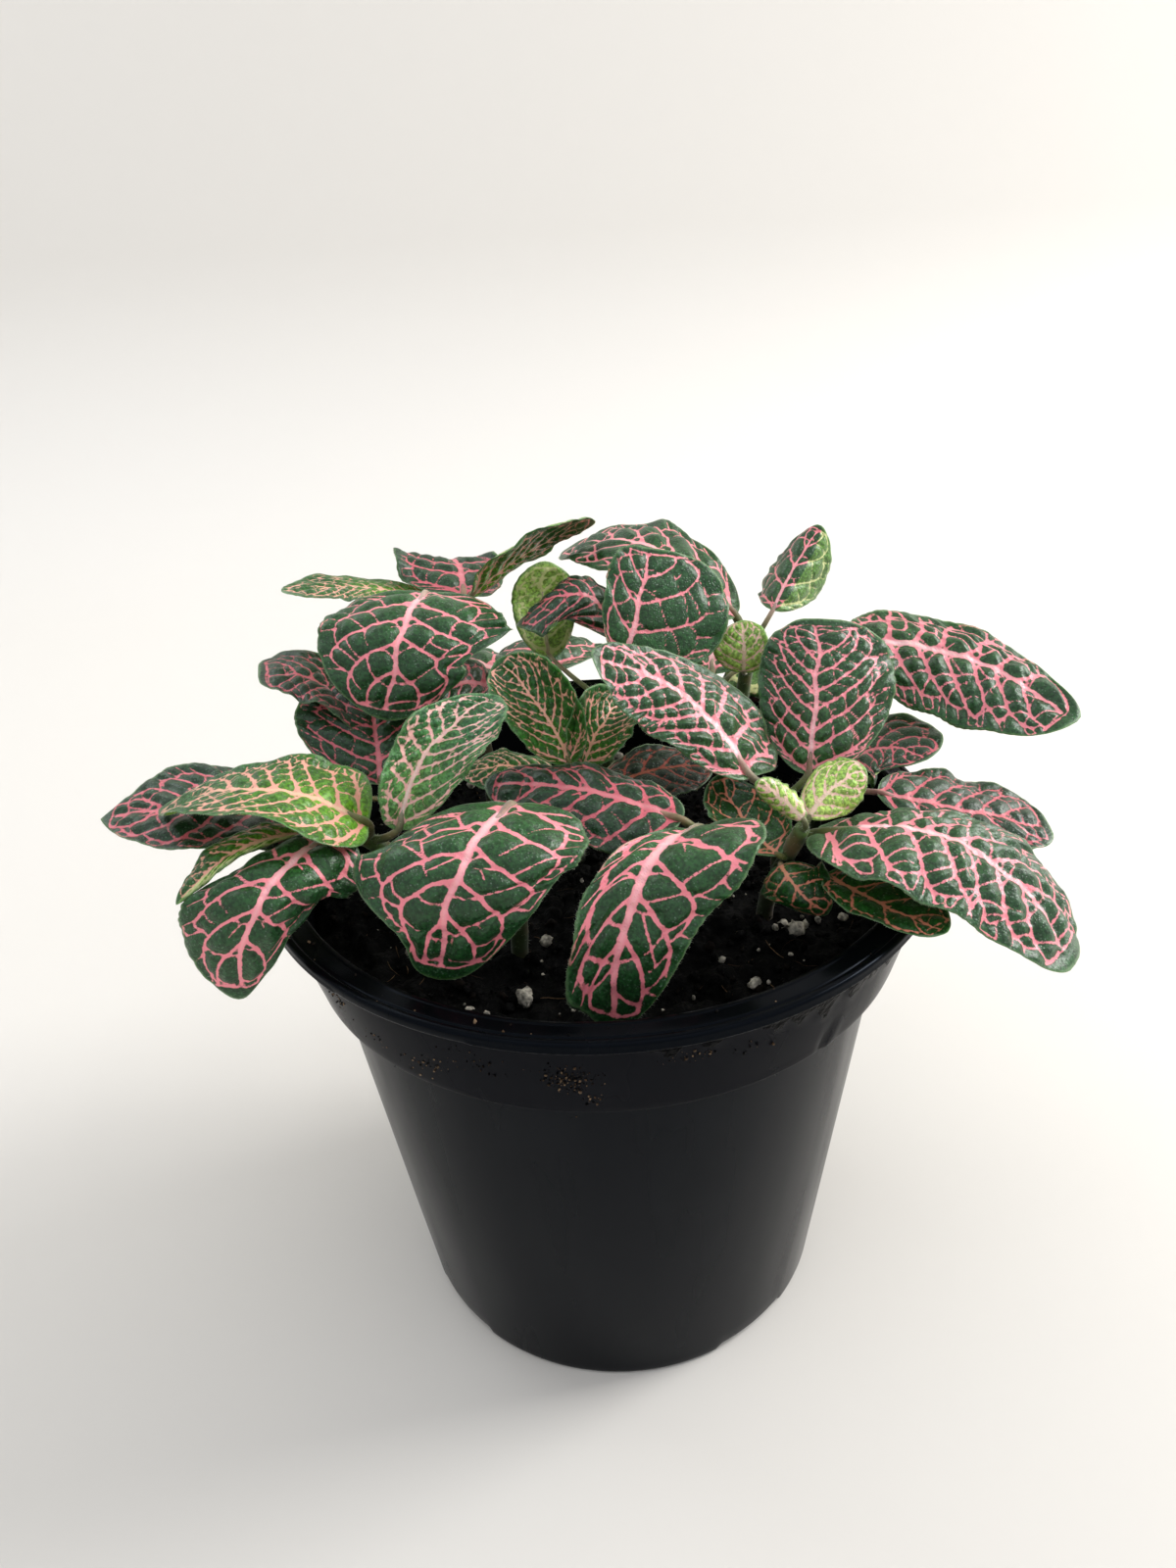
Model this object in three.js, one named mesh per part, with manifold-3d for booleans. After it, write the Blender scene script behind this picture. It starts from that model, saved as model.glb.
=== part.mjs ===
// Potted nerve plant: pink-veined leaves on short stems in a black plastic nursery pot.
// Millimetres, +Z up, the pot stands on z = 0 with its axis on the Z axis, the plant's front faces -Y.
import * as THREE from 'three';
import { mergeVertices } from 'three/addons/utils/BufferGeometryUtils.js';
import Module from 'manifold-3d';

const wasm = await Module();
wasm.setup();

// Pot
const LIP_RADIUS = 54;
const LIP_INNER_RADIUS = 49.3;
const LIP_THICKNESS = 1.8;
const LIP_ROUNDING = 0.5;
const POT_HEIGHT = 91;
const BAND_HEIGHT = 17.6;
const BAND_TOP_RADIUS = 52.4;
const BAND_BOTTOM_RADIUS = 48.6;
const BODY_TOP_RADIUS = 45.8;
const BASE_RADIUS = 37;
const WALL = 1.3;
const FLOOR = 2;
const BASE_EDGE_ROUNDING = 1.2;
const POT_SEGMENTS = 48;

// The pot stands on four feet with a low arch between each two of them, beside a drain hole
const BASE_ARCHES = 4;
const FIRST_ARCH_ANGLE = -0.92;
const ARCH = { width: 15, depth: 3, height: 1.1 };
const DRAIN_HOLE_RADIUS = 3;
const DRAIN_HOLE_PLACE = 26;
const DRAIN_HOLE_SIDES = 12;

// Soil
const SOIL_GAP = 0.3;
const SOIL_TOP = 80;
const SOIL_RINGS = 5;
const SOIL_SEGMENTS = 28;
const SOIL_ROUGHNESS = 0.7;
const SOIL_CROWN = 1.2;
const PERLITE_GRAINS = 12;
const PERLITE_SPREAD = 44;
const PERLITE_RADIUS = { smallest: 1.2, range: 1.1 };
const STEM_HOLE_DEPTH = 12;
const STEM_HOLE_SIDES = 8;
const STEM_GAP = 0.3;
const SEED = 20;

const MATERIALS = {
  pot: new THREE.MeshStandardMaterial({ color: 0x0c0e12, roughness: 0.35, metalness: 0 }),
  soil: new THREE.MeshStandardMaterial({ color: 0x17120e, roughness: 0.95, metalness: 0 }),
  leaf: new THREE.MeshStandardMaterial({ color: 0x1e4130, roughness: 0.55, metalness: 0 }),
};

// Stems and leaves
const STEM_RADIUS = 1.5;
const STEM_SIDES = 6;
const STEM_TAPER = 0.15;
const STALK_RADIUS = 0.9;
const STALK_SIDES = 4;
const STALK_REACH = 0.14;
const BLADE_THICKNESS = 0.8;
const BLADE_ROWS = 8;
const BLADE_COLUMNS = 2;
const SMALL_BLADE_ROWS = 6;
const SMALL_BLADE_COLUMNS = 2;
const SMALL_BLADE_LENGTH = 20;
const SMALL_BLADE_RELIEF = 0.5;
const VEIN_SWEEP = 0.16;
const QUILT_HEIGHT = 0.5;
const MIDRIB_FURROW = 0.5;
const OUTLINE_FULLNESS = 2.3;
const HEEL_SHARPNESS = 0.5;
const TIP_SHARPNESS = 0.6;
const WAVE_OFFSET = 0.3;
const SLOPE_STEP = 0.02;

// Each leafy stem runs through its points from inside the soil to its tip.
// A leaf is given by points on its upper face: base, middle and tip lie along the midrib, left and
// right are the widest places of the margin as seen from the base. Ruffle is the height of the waves
// in the margin, waves their number along each side, and stalk the leaf's place along the stem. Heel
// and point say how pointed its two ends are, from 0.3 for a blunt end to 1 for a sharp one. A lobe
// widens the leaf, or narrows it, on one side: [side, place along the leaf, extra width, length].
const SHOOTS = [
  {
    name: 'shoot_front_left',
    stem: [[-24, -14, 68.5], [-24, -14, 82], [-29, -16, 94], [-35, -18, 101]],
    leaves: [
      { base: [-33, -19, 103.5], middle: [-41, -21, 110], tip: [-63.5, -16, 106], left: [-42, -31, 111],
        right: [-38, -11, 109.5], ruffle: 0.6, waves: 2.5, stalk: 0.97, heel: 0.35, point: 0.75 },
      { base: [-39, -13, 101], middle: [-55, -14, 105], tip: [-74, -13, 103], left: [-52, -25, 104],
        right: [-60, -3, 106], ruffle: 0.4, waves: 2, stalk: 0.86, point: 0.95 },
      { base: [-38, -21, 104], middle: [-44, -33, 103.5], tip: [-52, -34, 85], left: [-36, -29, 98],
        right: [-56, -31, 100.5], ruffle: 0.7, waves: 2.5, stalk: 0.9, heel: 0.4,
        lobes: [[-1, 0.62, 0.15, 0.2]] },
      { base: [-42, -20, 103], middle: [-50, -27, 105], tip: [-58, -32, 100], left: [-51, -29, 104],
        right: [-53, -24, 105], ruffle: 0.4, waves: 2, stalk: 0.93 },
      { base: [-29, -19, 102], middle: [-24, -13, 112], tip: [-14, -5, 116], left: [-29, -17, 114],
        right: [-15, -17, 114], ruffle: 0.7, waves: 3, stalk: 0.95, heel: 0.5 },
    ],
  },
  {
    name: 'shoot_front_middle',
    stem: [[-13, -22, 68.5], [-13, -22, 82], [-12, -22, 93], [-11, -21, 101]],
    leaves: [
      { base: [-12, -21, 107], middle: [-18, -36, 107], tip: [-23, -37, 89], left: [-3, -34, 105],
        right: [-32, -30, 105], ruffle: 0.7, waves: 2.5, stalk: 0.95, heel: 0.3, point: 0.45,
        lobes: [[1, 0.9, -0.5, 0.13]] },
    ],
  },
  {
    name: 'shoot_centre',
    stem: [[14, -13, 68.5], [14, -13, 82], [15, -15, 92], [16, -18, 98]],
    leaves: [
      { base: [14, -22, 102], middle: [7.5, -32.5, 105], tip: [0, -41, 81], left: [20.5, -36, 106],
        right: [-1.5, -36, 103.5], ruffle: 0.7, waves: 2.5, stalk: 0.97,
        lobes: [[1, 0.78, 0.35, 0.16], [-1, 0.68, -0.14, 0.2]] },
      { base: [12, -20, 102], middle: [1, -15, 104], tip: [-17, -8, 103], left: [-2, -22, 99],
        right: [2, -8, 104], ruffle: 0.8, waves: 2.5, stalk: 0.93 },
    ],
  },
  {
    name: 'shoot_front_right',
    stem: [[25, -15, 68.5], [25, -15, 82], [27, -18, 92], [29, -21, 100]],
    leaves: [
      { base: [31, -19, 98], middle: [47, -25, 101], tip: [65, -35, 84], left: [57.5, -15, 95.5],
        right: [39, -36, 99], ruffle: 0.6, waves: 3.5, stalk: 0.9, heel: 0.35, point: 0.45 },
      { base: [32, -24, 94], middle: [38.5, -31.5, 93.5], tip: [45.5, -38.5, 93.5], left: [43.5, -27, 94],
        right: [35, -34, 93.5], ruffle: 0.4, waves: 2, stalk: 0.7 },
      { base: [26, -21, 94], middle: [27, -26, 94], tip: [32, -27, 89], left: [32, -22, 94],
        right: [23, -24, 91], ruffle: 0.4, waves: 2, stalk: 0.72 },
      { base: [26, -20, 95], middle: [22, -12, 96], tip: [19, -4, 100], left: [17, -15, 98],
        right: [27, -14, 100], ruffle: 0.5, waves: 2, stalk: 0.78 },
      { base: [29, -22, 102], middle: [26, -21, 105], tip: [22, -21, 108], left: [25, -20, 103],
        right: [27, -19, 106], ruffle: 0.3, waves: 2, stalk: 0.99 },
      { base: [30, -20, 101], middle: [34, -17.5, 104.5], tip: [39, -15.5, 106], left: [33, -12.8, 105.5],
        right: [36.8, -18.6, 101.3], ruffle: 0.4, waves: 2, stalk: 0.99 },
    ],
  },
  {
    name: 'shoot_centre_right',
    stem: [[29, -3, 68.5], [29, -3, 82], [29, -4, 91], [29, -5, 97]],
    leaves: [
      { base: [23.5, -9, 102], middle: [14, -4, 114], tip: [0, -6, 122], left: [8, -10, 111],
        right: [23.5, 4, 110], ruffle: 0.5, waves: 3, stalk: 0.95, heel: 0.4,
        lobes: [[1, 0.8, -0.35, 0.2]] },
      { base: [33, -4, 99], middle: [35, 3, 110], tip: [37, 13, 118], left: [27, 9, 110],
        right: [48, 6, 109], ruffle: 0.7, waves: 2.5, stalk: 0.95, point: 0.35 },
    ],
  },
  {
    name: 'shoot_middle',
    stem: [[-4, 4, 68.5], [-4, 4, 82], [-3, 1, 93], [-3, -2, 101]],
    leaves: [
      { base: [-4, -4, 103], middle: [-7.5, 1, 109.5], tip: [-15, 8, 116], left: [-13.5, -5, 112],
        right: [-3, -2, 115.5], ruffle: 0.5, waves: 2, stalk: 0.98, point: 0.6 },
      { base: [-2, -3, 102], middle: [1, 1, 107], tip: [5, 6, 108.5], left: [-2, -1, 113],
        right: [6, -4, 108.5], ruffle: 0.5, waves: 2, stalk: 0.98 },
      { base: [-6, 0, 97.5], middle: [-13, 2, 100], tip: [-22, 3, 98.5], left: [-14, -4, 98.5],
        right: [-13, 8, 99.5], ruffle: 0.5, waves: 2, stalk: 0.75 },
      { base: [1, -1, 96.5], middle: [9, 2, 98], tip: [19, 3.5, 97], left: [8, 8, 99],
        right: [11, -5, 96.5], ruffle: 0.5, waves: 2, stalk: 0.7 },
    ],
  },
  {
    name: 'shoot_left',
    stem: [[-29, 5, 68.5], [-29, 5, 82], [-31, 5, 91], [-33, 5, 97]],
    leaves: [
      { base: [-35, 2, 98], middle: [-36, 9, 105], tip: [-39, 20, 109], left: [-49, 10, 106],
        right: [-26, 12, 103], ruffle: 0.8, waves: 2.5, stalk: 0.95 },
      { base: [-38, 10, 101], middle: [-49, 18, 111], tip: [-56, 18, 111], left: [-47, 10, 110],
        right: [-51, 28, 111], ruffle: 0.7, waves: 2, stalk: 0.9, point: 0.35 },
      { base: [-38, 0, 97], middle: [-48, -2, 99], tip: [-58, 2, 96], left: [-50, -8, 98],
        right: [-49, 6, 98], ruffle: 0.5, waves: 2, stalk: 0.85 },
    ],
  },
  {
    name: 'shoot_back_left',
    stem: [[-19, 22, 68.5], [-19, 22, 82], [-21, 25, 100], [-25, 29, 115]],
    leaves: [
      { base: [-27, 25, 122], middle: [-30, 10, 120], tip: [-33, 5, 108], left: [-14.5, 14, 118.5],
        right: [-43, 14, 121], ruffle: 0.6, waves: 2.5, stalk: 0.97, heel: 0.35,
        lobes: [[-1, 0.74, -0.2, 0.06], [-1, 0.56, 0.12, 0.1]] },
      { base: [-28, 33, 117], middle: [-37, 36, 119], tip: [-51, 27, 122], left: [-38, 27, 120],
        right: [-40, 45, 118], ruffle: 0.5, waves: 2, stalk: 0.98 },
      { base: [-20, 29, 119], middle: [-11, 34, 124], tip: [2, 40, 127.5], left: [-12, 26, 129],
        right: [-9, 39, 122], ruffle: 0.5, waves: 2.5, stalk: 0.98 },
      { base: [-22, 35, 117], middle: [-24, 46, 120], tip: [-33, 58, 110], left: [-34, 40, 122],
        right: [-15, 41, 120], ruffle: 0.7, waves: 2, stalk: 0.95 },
      { base: [-17, 16, 108], middle: [-23, 10, 111], tip: [-28, 4, 109], left: [-24, 4, 108],
        right: [-22, 17, 113], ruffle: 0.4, waves: 2, stalk: 0.6 },
    ],
  },
  {
    name: 'shoot_back_middle',
    stem: [[2, 16, 68.5], [2, 16, 84], [2, 16, 98], [3, 13, 108]],
    leaves: [
      { base: [5, 11, 113], middle: [8, 15, 120], tip: [10, 22, 128.5], left: [3, 17, 124],
        right: [22.5, 17, 116], ruffle: 0.6, waves: 2.5, stalk: 0.97, point: 0.38 },
      { base: [-7, 22, 110], middle: [-8, 30, 116], tip: [-7, 31, 124], left: [-2, 31, 117],
        right: [-13, 29, 118], ruffle: 0.5, waves: 2, stalk: 0.9 },
      { base: [5, 22, 113], middle: [-1, 21, 121.5], tip: [-12, 20, 117], left: [-7, 15, 118],
        right: [-1, 27, 122.5], ruffle: 0.4, waves: 2, stalk: 0.93 },
    ],
  },
  {
    name: 'shoot_back_right',
    stem: [[25, 22, 68.5], [25, 22, 84], [26, 23, 98], [28, 26, 109]],
    leaves: [
      { base: [26, 29, 113], middle: [14, 36, 123], tip: [-3, 51, 119.5], left: [6, 25, 123],
        right: [17, 49, 123], ruffle: 0.7, waves: 2.5, stalk: 0.97 },
      { base: [32, 28, 114], middle: [36, 33, 119], tip: [42, 39, 125], left: [33, 40, 116],
        right: [42, 37, 114], ruffle: 0.6, waves: 2, stalk: 0.97 },
      { base: [26, 20, 106], middle: [26, 20, 110], tip: [26, 24, 114], left: [21, 21, 110],
        right: [30, 19, 111], ruffle: 0.4, waves: 2, stalk: 0.9 },
    ],
  },
  {
    name: 'shoot_right',
    stem: [[37, 9, 68.5], [37, 9, 83], [39, 13, 95], [42, 19, 103]],
    leaves: [
      { base: [45, 25, 109], middle: [62, 19, 108], tip: [78, 5, 101], left: [58, 31, 110.5],
        right: [57, 11, 100], ruffle: 0.6, waves: 3, stalk: 0.97, point: 0.45 },
      { base: [42, 8, 94], middle: [48, 9, 96], tip: [54, 4, 96], left: [52, 18, 97],
        right: [44, 1, 94], ruffle: 0.6, waves: 2, stalk: 0.6 },
      { base: [44, -4, 95.5], middle: [56.5, -6.5, 93], tip: [71, -7, 89], left: [58, 4, 93],
        right: [56.5, -13, 90.5], ruffle: 0.8, waves: 2.5, stalk: 0.5, point: 0.35 },
    ],
  },
  {
    name: 'shoot_rear_left',
    stem: [[-10, 36, 68.5], [-10, 36, 82], [-10, 38, 90], [-11, 41, 96]],
    leaves: [
      { base: [-11, 44, 97], middle: [-9, 58, 99], tip: [-8, 70, 88], left: [-21, 57, 94],
        right: [3, 58, 95], ruffle: 0.9, waves: 2.5, stalk: 0.95 },
      { base: [-14, 42, 96], middle: [-27, 52, 98], tip: [-40, 58, 88], left: [-34, 44, 95],
        right: [-21, 60, 95], ruffle: 0.9, waves: 2.5, stalk: 0.9 },
    ],
  },
  {
    name: 'shoot_rear_right',
    stem: [[20, 35, 68.5], [20, 35, 82], [21, 37, 89], [22, 39, 95]],
    leaves: [
      { base: [23, 42, 96], middle: [25, 56, 98], tip: [28, 69, 88], left: [14, 57, 94],
        right: [37, 54, 95], ruffle: 0.9, waves: 2.5, stalk: 0.95 },
      { base: [25, 39, 95], middle: [39, 46, 97], tip: [53, 53, 88], left: [36, 36, 94],
        right: [33, 57, 91], ruffle: 0.8, waves: 2.5, stalk: 0.9 },
    ],
  },
];

function seededRandom(seed) {
  let state = seed;
  return () => {
    state = (state * 16807) % 2147483647;
    return state / 2147483647;
  };
}

function vector(point) {
  return new THREE.Vector3(...point);
}

function indexedGeometry(points, triangles) {
  const geometry = new THREE.BufferGeometry();
  geometry.setAttribute('position', new THREE.Float32BufferAttribute(points.flat(), 3));
  geometry.setIndex(triangles.flat());
  return geometry;
}

function toManifold(geometry) {
  const bare = geometry.clone();
  bare.deleteAttribute('normal');
  bare.deleteAttribute('uv');
  const merged = mergeVertices(bare, 1e-4);
  return new wasm.Manifold(new wasm.Mesh({
    numProp: 3,
    vertProperties: new Float32Array(merged.attributes.position.array),
    triVerts: new Uint32Array(merged.index.array),
  }));
}

function toMesh(name, solid, material) {
  const { vertProperties, triVerts, numProp } = solid.getMesh();
  const geometry = new THREE.BufferGeometry();
  const positions = [];
  for (let i = 0; i < vertProperties.length; i += numProp) {
    positions.push(vertProperties[i], vertProperties[i + 1], vertProperties[i + 2]);
  }
  geometry.setAttribute('position', new THREE.Float32BufferAttribute(positions, 3));
  geometry.setIndex(Array.from(triVerts));
  const mesh = new THREE.Mesh(geometry, material);
  mesh.name = name;
  return mesh;
}

// Closed tube through a list of points, with one radius for each point
function tube(points, radii, sides) {
  const centres = points.map(vector);
  const count = points.length - 1;
  const vertices = [];
  const triangles = [];
  let normal = new THREE.Vector3(1, 0.3, 0.2);
  centres.forEach((centre, i) => {
    const before = centres[Math.max(i - 1, 0)];
    const after = centres[Math.min(i + 1, count)];
    const along = after.clone().sub(before).normalize();
    normal = normal.clone().addScaledVector(along, -normal.dot(along)).normalize();
    const binormal = new THREE.Vector3().crossVectors(along, normal);
    for (let k = 0; k < sides; k += 1) {
      const angle = (2 * Math.PI * k) / sides;
      const point = centre.clone()
        .addScaledVector(normal, radii[i] * Math.cos(angle))
        .addScaledVector(binormal, radii[i] * Math.sin(angle));
      vertices.push(point.toArray());
    }
  });
  for (let i = 0; i < count; i += 1) {
    for (let k = 0; k < sides; k += 1) {
      const a = i * sides + k;
      const b = i * sides + ((k + 1) % sides);
      triangles.push([a, b, a + sides], [b, b + sides, a + sides]);
    }
  }
  for (let k = 1; k < sides - 1; k += 1) {
    triangles.push([0, k + 1, k]);
    triangles.push([count * sides, count * sides + k, count * sides + k + 1]);
  }
  return toManifold(indexedGeometry(vertices, triangles));
}

// Upper face of a leaf: s runs from base to tip, t from -1 at the left margin to 1 at the right
function leafSurface(leaf) {
  const base = vector(leaf.base);
  const middle = vector(leaf.middle);
  const tip = vector(leaf.tip);
  const widest = base.distanceTo(middle) / (base.distanceTo(middle) + middle.distanceTo(tip));
  const midrib = (s) => new THREE.Vector3()
    .addScaledVector(base, ((s - widest) * (s - 1)) / widest)
    .addScaledVector(middle, (s * (s - 1)) / (widest * (widest - 1)))
    .addScaledVector(tip, (s * (s - widest)) / (1 - widest));
  const heading = (s) => midrib(s + 0.01).sub(midrib(s - 0.01)).normalize();
  const across = vector(leaf.right).sub(vector(leaf.left));
  const frame = (s) => {
    const along = heading(s);
    const side = across.clone().addScaledVector(along, -across.dot(along)).normalize();
    return { along, side, up: new THREE.Vector3().crossVectors(side, along) };
  };
  const home = frame(widest);
  const reach = (point) => {
    const offset = vector(point).sub(middle);
    return { along: offset.dot(home.along), side: offset.dot(home.side), up: offset.dot(home.up) };
  };
  const left = reach(leaf.left);
  const right = reach(leaf.right);
  const halfWidth = (s, side) => {
    const u = s < widest ? (widest - s) / widest : (s - widest) / (1 - widest);
    const open = Math.max(0, 1 - u ** OUTLINE_FULLNESS);
    const share = open ** (s < widest ? leaf.heel ?? HEEL_SHARPNESS : leaf.point ?? TIP_SHARPNESS);
    return (leaf.lobes ?? [])
      .filter((lobe) => lobe[0] === side)
      .reduce((width, [, place, extra, spread]) => (
        width * (1 + extra * Math.exp(-(((s - place) / spread) ** 2)))), share);
  };
  return (s, t) => {
    const { along, side, up } = frame(s);
    const margin = t < 0 ? left : right;
    const width = Math.abs(t) * halfWidth(s, Math.sign(t));
    const wave = Math.sin(2 * Math.PI * (leaf.waves * s + (t < 0 ? WAVE_OFFSET : 0)));
    return midrib(s)
      .addScaledVector(side, margin.side * width)
      .addScaledVector(up, margin.up * width * width + leaf.ruffle * wave * width ** 3)
      .addScaledVector(along, margin.along * width * width);
  };
}

function leafLength(leaf) {
  return vector(leaf.base).distanceTo(vector(leaf.middle)) + vector(leaf.middle).distanceTo(vector(leaf.tip));
}

// Blade with rows along the side veins, quilted between them and furrowed at the midrib
function blade(leaf) {
  const small = leafLength(leaf) < SMALL_BLADE_LENGTH;
  const rows = small ? SMALL_BLADE_ROWS : BLADE_ROWS;
  const columns = small ? SMALL_BLADE_COLUMNS : BLADE_COLUMNS;
  const relief = small ? SMALL_BLADE_RELIEF : 1;
  const surface = leafSurface(leaf);
  const step = SLOPE_STEP;
  const upper = [];
  const lower = [];
  for (let i = 0; i <= rows; i += 1) {
    const place = (1 - Math.cos((Math.PI * i) / rows)) / 2;
    for (let j = -columns; j <= columns; j += 1) {
      const t = j / columns;
      const s = place + VEIN_SWEEP * Math.abs(t) * Math.sin(Math.PI * place) * (1 - place);
      const inside = Math.min(Math.max(s, step), 1 - step);
      const near = Math.min(Math.max(t, step - 1), 1 - step);
      const alongFace = surface(inside + step, near).sub(surface(inside - step, near));
      const acrossFace = surface(inside, near + step).sub(surface(inside, near - step));
      const normal = new THREE.Vector3().crossVectors(acrossFace, alongFace).normalize();
      const open = Math.sin(Math.PI * place) * (1 - Math.abs(t) ** 3);
      const quilt = (i % 2 === 0 ? -QUILT_HEIGHT : QUILT_HEIGHT) * relief * open;
      const furrow = j === 0 ? -MIDRIB_FURROW * relief * Math.sin(Math.PI * place) : quilt;
      const point = surface(s, t).addScaledVector(normal, furrow);
      upper.push(point.clone().addScaledVector(normal, BLADE_THICKNESS / 2).toArray());
      lower.push(point.addScaledVector(normal, -BLADE_THICKNESS / 2).toArray());
    }
  }
  const span = 2 * columns + 1;
  const count = upper.length;
  const triangles = [];
  const face = (a, b, c) => {
    triangles.push([a, b, c], [a + count, c + count, b + count]);
  };
  for (let i = 0; i < rows; i += 1) {
    for (let j = 0; j < 2 * columns; j += 1) {
      const a = i * span + j;
      const b = a + 1;
      const c = a + span;
      const d = c + 1;
      if (j < columns) {
        face(a, b, c);
        face(b, d, c);
      } else {
        face(a, b, d);
        face(a, d, c);
      }
    }
    const l = i * span;
    const r = l + 2 * columns;
    triangles.push([l, l + span, l + count], [l + span, l + span + count, l + count]);
    triangles.push([r, r + count, r + span], [r + span, r + count, r + span + count]);
  }
  return closedBlade(upper.concat(lower), triangles, count, span, rows);
}

// The rows at base and tip have no width, so their points fall together
function closedBlade(points, triangles, count, span, rows) {
  const middle = (span - 1) / 2;
  const joined = (index) => {
    const level = index >= count ? count : 0;
    const row = Math.floor((index - level) / span);
    return row === 0 || row === rows ? level + row * span + middle : index;
  };
  const kept = triangles
    .map((triangle) => triangle.map(joined))
    .filter(([a, b, c]) => a !== b && b !== c && c !== a);
  const used = [...new Set(kept.flat())].sort((a, b) => a - b);
  const place = new Map(used.map((index, i) => [index, i]));
  return toManifold(indexedGeometry(
    used.map((index) => points[index]),
    kept.map((triangle) => triangle.map((index) => place.get(index))),
  ));
}

// Stalk from the stem to the leaf base and on under the midrib
function stalk(leaf, stemCurve) {
  const surface = leafSurface(leaf);
  const foot = stemCurve.getPointAt(leaf.stalk);
  const start = surface(0, 0);
  const inward = surface(0.06, 0).sub(start).normalize();
  const bend = foot.clone().lerp(start, 0.6).addScaledVector(inward, -0.6);
  const end = surface(STALK_REACH, 0);
  return tube(
    [foot.toArray(), bend.toArray(), start.toArray(), end.toArray()],
    [STALK_RADIUS * 1.2, STALK_RADIUS, STALK_RADIUS, STALK_RADIUS * 0.7],
    STALK_SIDES,
  );
}

// Leafy stem, placed by the foot of its stem
function shoot({ name, stem, leaves }) {
  const curve = new THREE.CatmullRomCurve3(stem.map(vector));
  const radii = stem.map((point, i) => STEM_RADIUS * (1 - STEM_TAPER * (i / (stem.length - 1))));
  let solid = tube(stem, radii, STEM_SIDES);
  leaves.forEach((leaf) => {
    solid = solid.add(stalk(leaf, curve)).add(blade(leaf));
  });
  const foot = vector(stem[0]);
  const mesh = toMesh(name, solid.translate(foot.clone().negate().toArray()), MATERIALS.leaf);
  mesh.position.copy(foot);
  return mesh;
}

function wallRadius(z) {
  const bandBottom = POT_HEIGHT - BAND_HEIGHT;
  return BASE_RADIUS + ((BODY_TOP_RADIUS - BASE_RADIUS) * z) / bandBottom;
}

function potProfile() {
  const bandBottom = POT_HEIGHT - BAND_HEIGHT;
  const lipUnder = POT_HEIGHT - LIP_THICKNESS;
  return [
    [0, 0],
    [BASE_RADIUS - BASE_EDGE_ROUNDING, 0],
    [BASE_RADIUS, BASE_EDGE_ROUNDING],
    [BODY_TOP_RADIUS, bandBottom],
    [BAND_BOTTOM_RADIUS, bandBottom + 1],
    [BAND_TOP_RADIUS, lipUnder - LIP_ROUNDING],
    [LIP_RADIUS - LIP_ROUNDING, lipUnder],
    [LIP_RADIUS, lipUnder + LIP_ROUNDING],
    [LIP_RADIUS, POT_HEIGHT - LIP_ROUNDING],
    [LIP_RADIUS - LIP_ROUNDING, POT_HEIGHT],
    [LIP_INNER_RADIUS + LIP_ROUNDING, POT_HEIGHT],
    [LIP_INNER_RADIUS, POT_HEIGHT - LIP_ROUNDING],
    [BAND_BOTTOM_RADIUS - WALL, bandBottom + 1 + WALL],
    [BODY_TOP_RADIUS - WALL, bandBottom + WALL],
    [wallRadius(FLOOR) - WALL, FLOOR + WALL],
    [wallRadius(FLOOR) - 2 * WALL, FLOOR],
    [0, FLOOR],
  ];
}

function lathe(profile, segments) {
  const points = profile.map(([radius, height]) => new THREE.Vector2(radius, height));
  const geometry = new THREE.LatheGeometry(points, segments);
  geometry.rotateX(Math.PI / 2);
  return toManifold(geometry);
}

function pot() {
  let solid = lathe(potProfile(), POT_SEGMENTS);
  for (let i = 0; i < BASE_ARCHES; i += 1) {
    const angle = FIRST_ARCH_ANGLE - Math.PI / 2 + (2 * Math.PI * i) / BASE_ARCHES;
    const arch = new THREE.BoxGeometry(ARCH.depth * 2, ARCH.width, ARCH.height * 2);
    arch.translate(BASE_RADIUS, 0, 0);
    arch.rotateZ(angle);
    const hole = new THREE.CylinderGeometry(
      DRAIN_HOLE_RADIUS, DRAIN_HOLE_RADIUS, FLOOR * 4, DRAIN_HOLE_SIDES);
    hole.rotateX(Math.PI / 2);
    hole.translate(DRAIN_HOLE_PLACE, 0, 0);
    hole.rotateZ(angle);
    solid = solid.subtract(toManifold(arch)).subtract(toManifold(hole));
  }
  return toMesh('pot', solid, MATERIALS.pot);
}

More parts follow.
